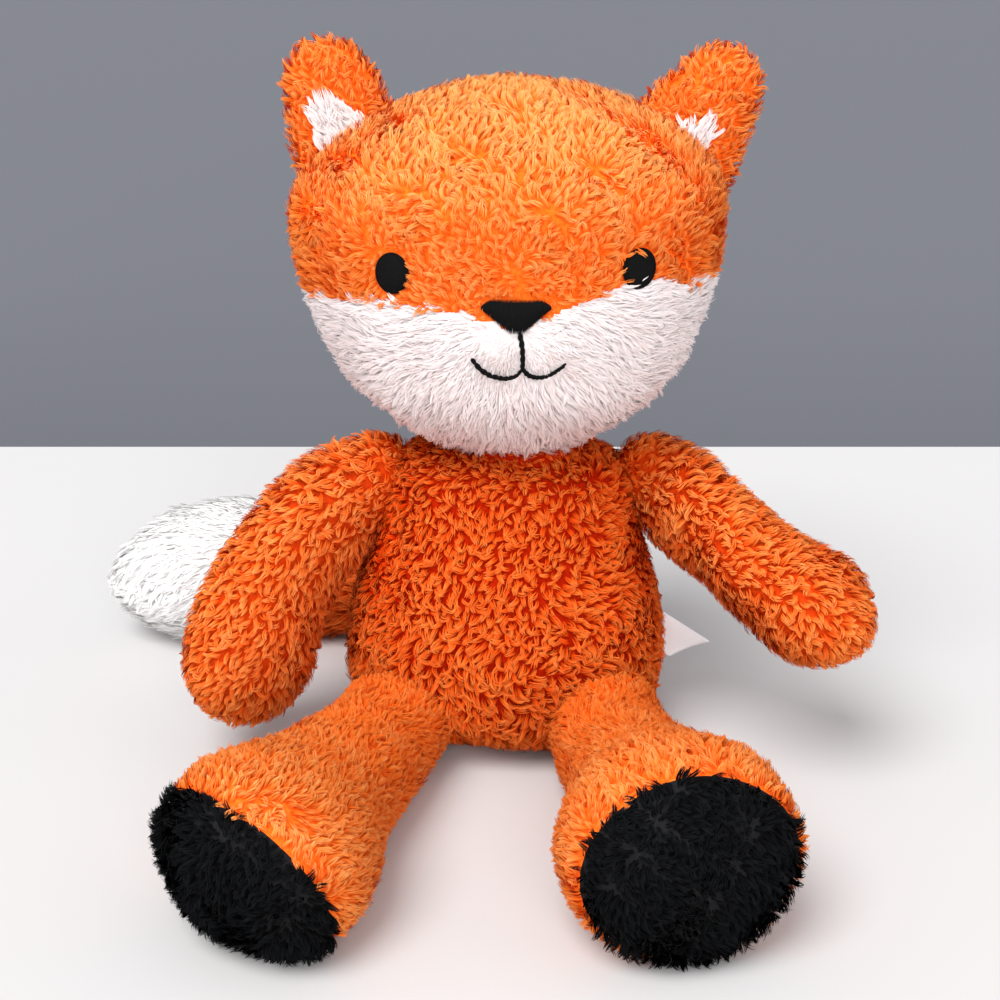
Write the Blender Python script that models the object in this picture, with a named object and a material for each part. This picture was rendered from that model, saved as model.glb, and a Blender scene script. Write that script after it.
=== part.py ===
# Seated plush fox, built as it is sewn: pile cloth covers round loose fillings,
# joined at seams that act as hinges. Metres, +Z up. The fox faces -Y, and left
# and right are the fox's own, so its left side is +X. The origin is the middle
# of the flat face that it sits on.
import math

import bmesh
import bpy
from mathutils import Matrix, Vector

# Cloth and clearances
GAP = 0.0003  # between two sewn pieces
CLOTH = 0.0025  # backing and packed pile of a cover
EASE = 0.001  # between a cover and the loose filling inside it
FLOOR_CUT = 0.0005  # how deep a soft form is flattened where it rests
OVERRUN = 0.01  # how far a cutter runs past what it cuts

# Torso: a pear that leans a little to its left as it sits
TORSO_HEIGHT = 0.096
BELLY_HALF_WIDTH = 0.0468
BELLY_HALF_DEPTH = 0.04
SHOULDER_HALF_WIDTH = 0.0355
SHOULDER_HALF_DEPTH = 0.029
SEAT_ROUNDING = 0.017
NECKLINE_ROUNDING = 0.013
TORSO_LEAN = 0.005
POUCH_HALF_WIDTH = 0.024
POUCH_HALF_DEPTH = 0.021
POUCH_HEIGHT = 0.013

# Neck: a ball of stuffing between the torso and the head
NECK_RADIUS = 0.021
NECK_DROP = 0.003  # the ball's centre below the top of the torso
NECK_FLARE_SHARE = 0.07  # of the ball's radius, up to where the head begins

# Head
HEAD_HEIGHT = 0.1035
HEAD_HALF_WIDTH = 0.0594
HEAD_HALF_DEPTH = 0.0457
HEAD_CROWN_ROUNDING = 0.034
HEAD_CHIN_ROUNDING = 0.027
HEAD_FORWARD = 0.003  # the head's middle in front of the neck
HEAD_TILT = 0.0045  # the crown to the right of the chin
FACE_SHIFT = 0.001  # the face's middle to the left of the head's
HEAD_SEAM_BACK = 0.006  # the side seam behind the head's middle
CHEEK_SEAM_HEIGHT = 0.0492  # the orange and white seam above the head's lowest point
CHEEK_SEAM_DIP = 0.0065  # how far it dips under the nose
CHEEK_SEAM_DIP_HALF_WIDTH = 0.022

# Embroidery
STITCH_THICKNESS = 0.0012
EYE_HALF_WIDTH = 0.004
EYE_HALF_HEIGHT = 0.0055
EYE_SPACING = 0.0655
EYE_RISE = 0.0093  # above the cheek seam
NOSE_TOP_HALF_WIDTH = 0.0095
NOSE_BOTTOM_HALF_WIDTH = 0.0035
NOSE_HEIGHT = 0.0095
NOSE_RISE = 0.0006  # the nose's middle below the cheek seam
MOUTH_LINE = 0.0016
MOUTH_SHIFT = 0.0012  # to the left of the nose's middle
MOUTH_HALF_WIDTH = 0.0115
MOUTH_DROP = 0.0112  # the length of the line from the nose down to the mouth
MOUTH_SAG = 0.003  # the depth of each of the two arcs
MOUTH_RISE = 0.0045  # of the corners above the fork

# Ears
EAR_REACHES = {"left": 0.0472, "right": 0.0453}  # of the base seams, from the head's middle
EAR_RISE = 0.02  # the base seam's middle below the crown
EAR_SEAM_HALF_LENGTH = 0.0165
EAR_SEAM_SLOPE = 49  # degrees
EAR_LENGTH = 0.031
EAR_HALF_THICKNESS = 0.0062
EAR_TIP_HALF_WIDTH = 0.0075
EAR_INNER_HALF_WIDTH = 0.0068
EAR_INNER_LENGTH = 0.016
EAR_INNER_DEPTH = 0.003
EAR_INNER_DROP_SHARE = 0.26  # of the ear's length, from its middle down to the patch's
EAR_LEANS = {"left": 33, "right": 17}  # degrees from upright
EAR_FOLD = 15  # degrees that an ear bends forwards or back

# Arms
SHOULDER_HEIGHT = 0.081
SHOULDER_STANDOFF = 0.0062  # the arm's hinge outside the torso's side
SHOULDER_RADIUS = 0.0125  # of the arm's rounded root, seen from the front
SHOULDER_HALF_THICKNESS = 0.0105
ARM_LENGTH = 0.085
ARM_HALF_WIDTH = 0.0164
ARM_HALF_THICKNESS = 0.0115
HAND_HALF_WIDTH = 0.0196
HAND_HALF_THICKNESS = 0.0148
ARM_DROPS = {"left": 28, "right": 21}  # degrees below level at the root
ARM_BENDS = {"left": -8, "right": 68}  # degrees that it curves down on its way to the hand
ARM_FORWARDS = {"left": 40, "right": 30}  # degrees
HAND_TWISTS = {"left": 72, "right": 10}  # degrees
# degrees down to where the arm meets the belly or the leg, and up to short of the cheek
ARM_SWINGS = {"left": (-18, 48), "right": (-2, 62)}

# Legs
HIP_SPACING = 0.06
HIP_HEIGHT = 0.0155
HIP_RADIUS = 0.0135  # of the leg's rounded root, seen from the side
HIP_HALF_WIDTH = 0.0162
LEG_LENGTH = 0.115
LEG_RADIUS = 0.0158
FOOT_HALF_WIDTH = 0.0282
FOOT_HALF_HEIGHT = 0.0261
FOOT_FULLNESS = {"left": 1.03, "right": 0.96}  # shares of a foot's width and height
TOE_ROUNDING = 0.0136
SOLE_DEPTHS = {"left": 0.0085, "right": 0.016}  # the domed black sole, from its seam to its tip
LEG_SPLAYS = {"left": 9, "right": 17}  # degrees
FOOT_TURNS = {"left": 2, "right": 24}  # degrees that the sole turns out from the leg
FOOT_TIPS = {"left": 2, "right": 25}  # degrees that the sole tips to the floor
LEG_LOWEST = 80  # degrees that a leg hangs below level when the fox is held up
LEG_HIGHEST = 20  # degrees above level

# Tail, lying on the floor round the fox's right side
TAIL_HEIGHT = 0.0235
TAIL_STANDOFF = 0.006  # the tail's hinge outside the torso's back
TAIL_ROOT_RADIUS = 0.0095
TAIL_ROOT_HALF_HEIGHT = 0.012
TAIL_LENGTH = 0.145
TAIL_RADIUS = 0.0228
TAIL_TIP_SHARE = 0.56  # of the tail's length, up to where the white tip begins
TAIL_OFFSET = 0.006  # its seam to the right of the torso's middle
TAIL_SIDEWAYS = 24  # degrees that its root points right of straight back
TAIL_IN = 8  # degrees that it swings towards the right hip
TAIL_OUT = 75  # degrees that it swings round behind to the left

# Care label in the left side seam
LABEL_LENGTH = 0.0165
LABEL_WIDTH = 0.017
LABEL_THICKNESS = 0.0008
LABEL_HEIGHT = 0.028

SIDES = {"left": 1, "right": -1}
COLOURS = {
    "orange": (0.83, 0.2, 0.035),
    "white": (0.86, 0.83, 0.82),
    "black": (0.012, 0.012, 0.015),
    "thread": (0.008, 0.008, 0.01),
    "filling": (0.9, 0.89, 0.85),
    "pellets": (0.75, 0.75, 0.72),
    "label": (0.9, 0.9, 0.9),
}


def clear_scene():
    for old in list(bpy.data.objects):
        bpy.data.objects.remove(old, do_unlink=True)


def material(colour):
    found = bpy.data.materials.get(colour)
    if found:
        return found
    made = bpy.data.materials.new(colour)
    made.use_nodes = True
    shader = made.node_tree.nodes["Principled BSDF"]
    shader.inputs["Base Color"].default_value = (*COLOURS[colour], 1)
    shader.inputs["Roughness"].default_value = 0.9
    shader.inputs["Metallic"].default_value = 0
    return made


def object_from(name, bm, colour=None, outward=False):
    if not outward:
        bm.normal_update()
        bmesh.ops.recalc_face_normals(bm, faces=bm.faces)
    mesh = bpy.data.meshes.new(name)
    bm.to_mesh(mesh)
    bm.free()
    made = bpy.data.objects.new(name, mesh)
    bpy.context.scene.collection.objects.link(made)
    if colour:
        mesh.materials.append(material(colour))
    mesh.shade_smooth()
    return made


def boolean(body, operation, other):
    """The body cut by, joined to or kept inside the other object, as a plain mesh."""
    modifier = body.modifiers.new(operation.title(), "BOOLEAN")
    modifier.operation = operation
    modifier.solver = "EXACT"
    modifier.object = other
    bpy.context.view_layer.update()
    graph = bpy.context.evaluated_depsgraph_get()
    mesh = bpy.data.meshes.new_from_object(body.evaluated_get(graph))
    body.modifiers.clear()
    body.data = mesh
    mesh.shade_smooth()
    bpy.data.objects.remove(other, do_unlink=True)
    return body


def copy_of(source, name):
    made = source.copy()
    made.data = source.data.copy()
    made.name = name
    bpy.context.scene.collection.objects.link(made)
    return made


def recolour(body, colour):
    body.data.materials.clear()
    body.data.materials.append(material(colour))
    return body


# Curves through a few chosen points


def smooth(values, place):
    """A Catmull-Rom curve through the values, at a place counted in values."""
    first = min(int(place), len(values) - 2)
    t = place - first
    before = values[max(first - 1, 0)]
    start, end = values[first], values[first + 1]
    after = values[min(first + 2, len(values) - 1)]
    return (
        start
        + (end - before) * (t / 2)
        + (before * 2 - start * 5 + end * 4 - after) * (t * t / 2)
        + (start * 3 - before - end * 3 + after) * (t * t * t / 2)
    )


class Spine:
    """A smooth line through points, measured along its length."""

    steps = 24

    def __init__(self, points):
        count = (len(points) - 1) * self.steps
        self.places = [i / self.steps for i in range(count + 1)]
        self.points = [smooth(points, place) for place in self.places]
        self.along = [0.0]
        for a, b in zip(self.points, self.points[1:]):
            self.along.append(self.along[-1] + (b - a).length)
        self.length = self.along[-1]

    def at(self, distance):
        """The point, direction and control place at this distance from the start."""
        distance = min(max(distance, 0), self.length)
        i = 0
        while i < len(self.along) - 2 and self.along[i + 1] < distance:
            i += 1
        share = (distance - self.along[i]) / (self.along[i + 1] - self.along[i])
        point = self.points[i].lerp(self.points[i + 1], share)
        place = self.places[i] + share / self.steps
        before = self.points[max(i - 1, 0)]
        after = self.points[min(i + 2, len(self.points) - 1)]
        return point, (after - before).normalized(), place


def soft_form(name, points, half_widths, half_depths, wide_axes, caps, count, inset=0.0, colour=None,
              squareness=2.0, ways=None):
    """A stuffed form: oval rings along a spine, drawn in to a point over a rounded cap at each end.

    The inset makes the same form smaller all round, for what is inside a cover. The
    ways are the directions that the rings face, where they aren't square to the spine.
    """
    sides, rings = count
    spine = Spine(points)
    bm = bmesh.new()
    loops = []
    usable = spine.length - 2 * inset
    for i in range(1, rings):
        # rings crowd together towards both ends, where the form rounds off
        share = (1 - math.cos(math.pi * i / rings)) / 2
        distance = inset + usable * share
        centre, along, place = spine.at(distance)
        if ways:
            along = smooth(ways, place).normalized()
        drawn = 1.0
        for cap, from_end in zip(caps, (distance - inset, spine.length - inset - distance)):
            cap = max(cap - inset, GAP)
            if from_end < cap:
                drawn *= math.sqrt(max(1 - (1 - from_end / cap) ** 2, 0))
        wide = smooth(wide_axes, place * (len(wide_axes) - 1) / (len(points) - 1))
        wide = (wide - along * wide.dot(along)).normalized()
        deep = along.cross(wide)
        half_width = (smooth(half_widths, place) - inset) * drawn
        half_depth = (smooth(half_depths, place) - inset) * drawn
        loop = []
        for k in range(sides):
            turn = 2 * math.pi * k / sides
            c, s = math.cos(turn), math.sin(turn)
            x = math.copysign(abs(c) ** (2 / squareness), c) * half_width
            y = math.copysign(abs(s) ** (2 / squareness), s) * half_depth
            loop.append(bm.verts.new(centre + wide * x + deep * y))
        loops.append(loop)
    first = bm.verts.new(spine.at(inset)[0])
    last = bm.verts.new(spine.at(spine.length - inset)[0])
    for k in range(sides):
        n = (k + 1) % sides
        bm.faces.new((first, loops[0][n], loops[0][k]))
        bm.faces.new((last, loops[-1][k], loops[-1][n]))
        for lower, upper in zip(loops, loops[1:]):
            bm.faces.new((lower[k], lower[n], upper[n], upper[k]))
    return object_from(name, bm, colour, outward=True)


def ellipsoid(name, centre, half_axes, count=(20, 12), colour=None):
    """A ball stretched along three half axes at right angles."""
    sides, rings = count
    bm = bmesh.new()
    bmesh.ops.create_uvsphere(bm, u_segments=sides, v_segments=rings, radius=1)
    stretch = Matrix(half_axes).transposed().to_4x4()
    bm.transform(Matrix.Translation(centre) @ stretch)
    return object_from(name, bm, colour)


def block(name, low, high):
    bm = bmesh.new()
    bmesh.ops.create_cube(bm, size=1)
    low, high = Vector(low), Vector(high)
    size = Matrix.Diagonal((*(high - low), 1))
    bm.transform(Matrix.Translation((low + high) / 2) @ size)
    return object_from(name, bm)


def prism(name, outline, near, far, turn=Matrix.Identity(4)):
    """An outline in X and Z, extruded along Y from near to far, then placed by the turn."""
    bm = bmesh.new()
    corners = [bm.verts.new((x, near, z)) for x, z in outline]
    face = bm.faces.new(corners)
    made = bmesh.ops.extrude_face_region(bm, geom=[face])["geom"]
    moved = [part for part in made if isinstance(part, bmesh.types.BMVert)]
    bmesh.ops.translate(bm, verts=moved, vec=(0, far - near, 0))
    bm.transform(turn)
    return object_from(name, bm)


def oval(centre_x, centre_z, half_width, half_height, count):
    turns = [2 * math.pi * k / count for k in range(count)]
    return [(centre_x + half_width * math.cos(t), centre_z + half_height * math.sin(t)) for t in turns]


def flatten(body, depth):
    """Cuts the body off at the floor, depth above its lowest point by design."""
    reach = max(abs(c) for v in body.data.vertices for c in v.co) + OVERRUN
    return boolean(body, "DIFFERENCE", block("floor_cutter", (-reach, -reach, -depth - OVERRUN), (reach, reach, 0)))


# Torso

NECK_Z = TORSO_HEIGHT - NECK_DROP
TORSO_INSIDE_COUNT = (18, 10)
FAN_STEPS = 5
ROOM_MARGIN = math.radians(4)  # that a limb's room runs past each end of its swing


def torso_sizes():
    """Heights, half widths and half depths up the torso, from the seat to the neckline."""
    belly, shoulder = BELLY_HALF_WIDTH, SHOULDER_HALF_WIDTH
    deep, chest = BELLY_HALF_DEPTH, SHOULDER_HALF_DEPTH
    height_shares = (0, 0.17, 0.36, 0.54, 0.7, 0.85, 1)
    widths = (belly * 0.8, belly * 0.97, belly, belly * 0.93, shoulder * 1.1, shoulder, shoulder * 0.86)
    depths = (deep * 0.8, deep * 0.96, deep, deep * 0.93, chest * 1.13, chest, chest * 0.9)
    return height_shares, widths, depths


def torso_form(name, inset=0.0, count=(24, 14), colour=None):
    height_shares, widths, depths = torso_sizes()
    low = -FLOOR_CUT
    points = [
        Vector((TORSO_LEAN * share, 0, low + (TORSO_HEIGHT - low) * share)) for share in height_shares
    ]
    caps = (SEAT_ROUNDING, NECKLINE_ROUNDING)
    return soft_form(name, points, widths, depths, [Vector((1, 0, 0))] * 2, caps, count, inset, colour, 2.15)


def torso_size_at(height):
    """The torso's middle, half width and half depth at this height above the floor."""
    height_shares, widths, depths = torso_sizes()
    share = height / TORSO_HEIGHT
    i = 0
    while i < len(height_shares) - 2 and height_shares[i + 1] < share:
        i += 1
    place = i + (share - height_shares[i]) / (height_shares[i + 1] - height_shares[i])
    drawn = 1.0
    if height + FLOOR_CUT < SEAT_ROUNDING:
        drawn = math.sqrt(1 - (1 - (height + FLOOR_CUT) / SEAT_ROUNDING) ** 2)
    return TORSO_LEAN * share, smooth(widths, place) * drawn, smooth(depths, place) * drawn


# Seams that act as hinges: a limb's root is rounded about the hinge, and what
# carries it has room for the root and for the limb's first stretch as it swings


class Hinge:
    def __init__(self, middle, axis, outward, radius, half_length, swing):
        self.middle = middle
        self.axis = axis.normalized()
        self.outward = outward.normalized()
        self.radius = radius
        self.half_length = half_length
        self.swing = [math.radians(angle) for angle in swing]
        self.start = middle - self.outward * radius

    def room(self, reach, half_width, hub_ease=GAP):
        """A fan-shaped cutter: a round hub, and strips that widen to the reach at both ends of the swing."""
        hub, wide = self.radius + hub_ease, half_width + GAP
        low, high = self.swing[0] - ROOM_MARGIN, self.swing[1] + ROOM_MARGIN
        outline = []
        for angle, side in ((low, -1), (high, 1)):
            along = (math.cos(angle), math.sin(angle))
            across = (-math.sin(angle) * side, math.cos(angle) * side)
            near = (across[0] * hub, across[1] * hub)
            far = (along[0] * reach + across[0] * wide, along[1] * reach + across[1] * wide)
            outline += [near, far] if side < 0 else [far, near]
        # the far side is an arc, and so is the back of the hub
        spread = math.atan2(wide, reach)
        outer = math.hypot(reach, wide)
        arc = arc_points(outer, low - spread, high + spread, FAN_STEPS)[1:-1]
        back = arc_points(hub, high + math.pi / 2, low + math.pi * 3 / 2, FAN_STEPS)[1:-1]
        outline = outline[:2] + arc + outline[2:] + back
        turned = Matrix((self.outward, self.axis, self.outward.cross(self.axis))).transposed().to_4x4()
        # the outline's second coordinate runs the way that a positive swing goes
        mirrored = [(x, -z) for x, z in outline]
        half = self.half_length + GAP
        return prism("room", mirrored, -half, half, Matrix.Translation(self.middle) @ turned)


def arc_points(radius, first, last, steps):
    turns = [first + (last - first) * k / steps for k in range(steps + 1)]
    return [(radius * math.cos(t), radius * math.sin(t)) for t in turns]


def shoulder(side):
    sign = SIDES[side]
    middle_x, half_width, _ = torso_size_at(SHOULDER_HEIGHT)
    forward, drop = math.radians(ARM_FORWARDS[side]), math.radians(ARM_DROPS[side])
    level = Vector((sign * math.cos(forward), -math.sin(forward), 0))
    outward = level * math.cos(drop) - Vector((0, 0, math.sin(drop)))
    # a positive swing raises the arm
    axis = outward.cross(Vector((0, 0, 1)))
    middle = Vector((middle_x + sign * (half_width + SHOULDER_STANDOFF), 0, SHOULDER_HEIGHT))
    return Hinge(middle, axis, outward, SHOULDER_RADIUS, SHOULDER_HALF_THICKNESS, ARM_SWINGS[side])


def hip(side):
    sign = SIDES[side]
    splay = math.radians(LEG_SPLAYS[side])
    outward = Vector((sign * math.sin(splay), -math.cos(splay), 0))
    axis = outward.cross(Vector((0, 0, 1)))
    _, half_width, half_depth = torso_size_at(HIP_HEIGHT)
    y = -half_depth * math.sqrt(1 - min(HIP_SPACING / 2 / half_width, 1) ** 2)
    middle = Vector((sign * HIP_SPACING / 2, y, HIP_HEIGHT))
    return Hinge(middle, axis, outward, HIP_RADIUS, HIP_HALF_WIDTH, (-LEG_LOWEST, LEG_HIGHEST))


def tail_hinge():
    _, half_width, half_depth = torso_size_at(TAIL_HEIGHT)
    sideways = math.radians(TAIL_SIDEWAYS)
    outward = Vector((-math.sin(sideways), math.cos(sideways), 0))
    y = half_depth * math.sqrt(1 - (TAIL_OFFSET / half_width) ** 2) + TAIL_STANDOFF
    middle = Vector((-TAIL_OFFSET, y, TAIL_HEIGHT))
    swing = (-TAIL_OUT, TAIL_IN)
    return Hinge(middle, Vector((0, 0, 1)), outward, TAIL_ROOT_RADIUS, TAIL_ROOT_HALF_HEIGHT, swing)


def neck_ball(name, clearance=0.0, colour=None):
    centre = Vector((TORSO_LEAN * NECK_Z / TORSO_HEIGHT, 0, NECK_Z))
    return ellipsoid(name, centre, Matrix.Scale(NECK_RADIUS + clearance, 3), (24, 14), colour)


def torso_rooms():
    """Cutters for what is hinged on the torso."""
    for side in SIDES:
        yield shoulder(side).room(SHOULDER_RADIUS * 1.7, ARM_HALF_WIDTH)
        yield hip(side).room(HIP_RADIUS * 1.7, LEG_RADIUS * 1.08)
    yield tail_hinge().room(TAIL_ROOT_RADIUS * 2.2, TAIL_ROOT_RADIUS * 1.6, TAIL_ROOT_RADIUS * 0.2)


def make_torso():
    cover = torso_form("torso_cover", colour="orange")
    boolean(cover, "DIFFERENCE", torso_form("inside", CLOTH, TORSO_INSIDE_COUNT))
    filling = torso_form("torso_filling", CLOTH + EASE, TORSO_INSIDE_COUNT, "filling")
    for piece in (cover, filling):
        boolean(piece, "DIFFERENCE", neck_ball("ball_cutter", GAP))
        for room in torso_rooms():
            boolean(piece, "DIFFERENCE", room)
    flatten(cover, FLOOR_CUT)
    low = CLOTH + EASE
    boolean(filling, "DIFFERENCE", pouch("pouch_cutter", low, GAP))
    pouch("seat_pellet_pouch", low, 0, "pellets")
    neck_ball("neck_filling", colour="filling")


def pouch(name, low, clearance, colour=None):
    """The bag of pellets that weighs the seat down, lying in the lowest part of the filling."""
    half_height = POUCH_HEIGHT / 2
    centre = Vector((0, 0, low + GAP + half_height))
    points = [centre + Vector((0, 0, half_height * share)) for share in (-1, 0, 1)]
    points[0].z -= clearance
    points[2].z += clearance
    widths = [POUCH_HALF_WIDTH + clearance] * 3
    depths = [POUCH_HALF_DEPTH + clearance] * 3
    caps = (half_height + clearance, half_height + clearance)
    return soft_form(name, points, widths, depths, [Vector((1, 0, 0))] * 2, caps, (16, 6), 0, colour)


# Head

HEAD_LOW = NECK_Z + NECK_RADIUS * NECK_FLARE_SHARE
HEAD_X = TORSO_LEAN * 0.64
FACE_X = HEAD_X + FACE_SHIFT
HEAD_INSIDE_COUNT = (20, 10)
HEAD_Y = -HEAD_FORWARD


def head_form(name, inset=0.0, count=(26, 14), colour=None):
    height_shares = (0, 0.16, 0.34, 0.54, 0.76, 1)
    width_shares = (0.56, 0.72, 0.885, 0.99, 1, 0.86)
    depth_shares = (0.72, 0.87, 0.965, 1, 0.97, 0.8)
    middle_share = 0.45
    points = [
        Vector((HEAD_X + HEAD_TILT * (middle_share - share), HEAD_Y, HEAD_LOW + HEAD_HEIGHT * share))
        for share in height_shares
    ]
    widths = [HEAD_HALF_WIDTH * share for share in width_shares]
    depths = [HEAD_HALF_DEPTH * share for share in depth_shares]
    caps = (HEAD_CHIN_ROUNDING, HEAD_CROWN_ROUNDING)
    return soft_form(name, points, widths, depths, [Vector((1, 0, 0))] * 2, caps, count, inset, colour, 2.2)


def cheek_seam_z(x):
    """The height of the seam between the orange and the white cloth across the face."""
    share = min(abs(x - FACE_X) / CHEEK_SEAM_DIP_HALF_WIDTH, 1)
    return HEAD_LOW + CHEEK_SEAM_HEIGHT - CHEEK_SEAM_DIP * (1 + math.cos(math.pi * share)) / 2


def face_region(name, upper, reach, seam_y):
    """The space in front of the side seam, above or below the cheek seam."""
    shift = GAP / 2 if upper else -GAP / 2
    steps = 16
    xs = [FACE_X - reach] + [
        FACE_X + CHEEK_SEAM_DIP_HALF_WIDTH * (2 * k / steps - 1) for k in range(steps + 1)
    ] + [FACE_X + reach]
    outline = [(x, cheek_seam_z(x) + shift) for x in xs]
    far_z = HEAD_LOW + (HEAD_HEIGHT + OVERRUN if upper else -OVERRUN)
    outline += [(xs[-1], far_z), (xs[0], far_z)]
    return prism(name, outline, HEAD_Y - reach, seam_y)


def ear_hinge(side):
    sign = SIDES[side]
    slope = math.radians(EAR_SEAM_SLOPE)
    outward = Vector((sign * math.sin(slope), 0, math.cos(slope)))
    axis = Vector((math.cos(slope), 0, -sign * math.sin(slope)))
    middle = Vector(
        (HEAD_X + sign * EAR_REACHES[side], HEAD_Y + HEAD_SEAM_BACK, HEAD_LOW + HEAD_HEIGHT - EAR_RISE)
    )
    return Hinge(middle, axis, outward, EAR_HALF_THICKNESS, EAR_SEAM_HALF_LENGTH, (-EAR_FOLD, EAR_FOLD))


def make_head():
    reach = HEAD_HALF_WIDTH + OVERRUN
    seam_y = HEAD_Y + HEAD_SEAM_BACK
    regions = {
        "head_face_orange": ("orange", face_region("upper_face", True, reach, seam_y - GAP / 2)),
        "head_cheeks_white": ("white", face_region("lower_face", False, reach, seam_y - GAP / 2)),
        "head_back_orange": (
            "orange",
            block(
                "back",
                (HEAD_X - reach, seam_y + GAP / 2, HEAD_LOW - OVERRUN),
                (HEAD_X + reach, HEAD_Y + reach, HEAD_LOW + HEAD_HEIGHT + OVERRUN),
            ),
        ),
    }
    shell = head_form("shell")
    boolean(shell, "DIFFERENCE", head_form("inside", CLOTH, HEAD_INSIDE_COUNT))
    filling = head_form("head_filling", CLOTH + EASE, HEAD_INSIDE_COUNT, "filling")
    for piece in (shell, filling):
        boolean(piece, "DIFFERENCE", neck_ball("ball_cutter", GAP))
        for side in SIDES:
            boolean(piece, "DIFFERENCE", ear_hinge(side).room(EAR_HALF_THICKNESS * 2, EAR_HALF_THICKNESS * 1.1))
    for name, (colour, region) in regions.items():
        panel = boolean(copy_of(shell, name), "INTERSECT", region)
        recolour(panel, colour)
    bpy.data.objects.remove(shell, do_unlink=True)
    make_embroidery()


def stitched(name, outline_of, thickness):
    """Satin stitch over an outline on the face, sunk in the pile of the panels under it."""
    near, far = HEAD_Y - HEAD_HALF_DEPTH - OVERRUN, HEAD_Y
    piece = boolean(prism(name, outline_of(0), near, far), "INTERSECT", head_form("skin"))
    boolean(piece, "DIFFERENCE", head_form("under", thickness))
    recolour(piece, "thread")
    for panel_name in ("head_face_orange", "head_cheeks_white"):
        pocket = prism("pocket", outline_of(GAP), near, far)
        boolean(pocket, "DIFFERENCE", head_form("under", thickness + GAP))
        boolean(bpy.data.objects[panel_name], "DIFFERENCE", pocket)


def nose_outline(grow):
    """A rounded trapezoid, wide at the top."""
    middle = HEAD_LOW + CHEEK_SEAM_HEIGHT - NOSE_RISE
    top, bottom = middle + NOSE_HEIGHT / 2 + grow, middle - NOSE_HEIGHT / 2 - grow
    wide, narrow = NOSE_TOP_HALF_WIDTH + grow, NOSE_BOTTOM_HALF_WIDTH + grow
    # shares of the two half widths, and of the way down, along the right-hand half
    shares = ((0, 0.55, 0), (0, 0.85, 0.06), (0, 1, 0.25), (0.35, 0.62, 0.62), (0.8, 0.25, 0.9), (0.75, 0, 1))
    right = [(narrow * n + wide * w, top + (bottom - top) * down) for n, w, down in shares]
    return [(FACE_X + x, z) for x, z in right] + [(FACE_X - x, z) for x, z in reversed(right)]


def mouth_line():
    """The middle of the mouth's line on the face: its left arc, its right arc, then the line to the nose."""
    top = HEAD_LOW + CHEEK_SEAM_HEIGHT - NOSE_RISE - NOSE_HEIGHT / 2 - GAP
    fork = top - MOUTH_DROP
    steps = 8
    right = []
    for k in range(steps + 1):
        share = k / steps
        # each arc leaves the fork downwards and ends above it
        lift = MOUTH_RISE * share - MOUTH_SAG * math.sin(math.pi * share)
        right.append((MOUTH_HALF_WIDTH * share, fork + lift))
    return top, fork, right


def mouth_outline(grow):
    """The outline round the mouth's line: an anchor shape."""
    top, _, right = mouth_line()
    half = MOUTH_LINE / 2 + grow
    upper, lower = [], []
    for k, (x, z) in enumerate(right):
        before, after = right[max(k - 1, 0)], right[min(k + 1, len(right) - 1)]
        along = Vector((after[0] - before[0], after[1] - before[1])).normalized()
        if k == 0:
            lower.append((0, z - half / along.x))
            upper.append((half, z + half * (along.y + 1) / along.x))
            continue
        upper.append((x - along.y * half, z + along.x * half))
        lower.append((x + along.y * half, z - along.x * half))
    side = [(half, top + grow)] + upper + list(reversed(lower))
    middle = FACE_X + MOUTH_SHIFT
    right_half = [(middle + x, z) for x, z in side]
    left_half = [(middle - x, z) for x, z in reversed(side[:-1])]
    return right_half + left_half


def make_embroidery():
    eye_z = HEAD_LOW + CHEEK_SEAM_HEIGHT + EYE_RISE
    for side, sign in SIDES.items():
        x = FACE_X + sign * EYE_SPACING / 2
        stitched(
            f"eye_{side}",
            lambda grow, x=x: oval(x, eye_z, EYE_HALF_WIDTH + grow, EYE_HALF_HEIGHT + grow, 14),
            STITCH_THICKNESS,
        )
    stitched("nose", nose_outline, STITCH_THICKNESS)
    stitched("mouth", mouth_outline, STITCH_THICKNESS)


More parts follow.
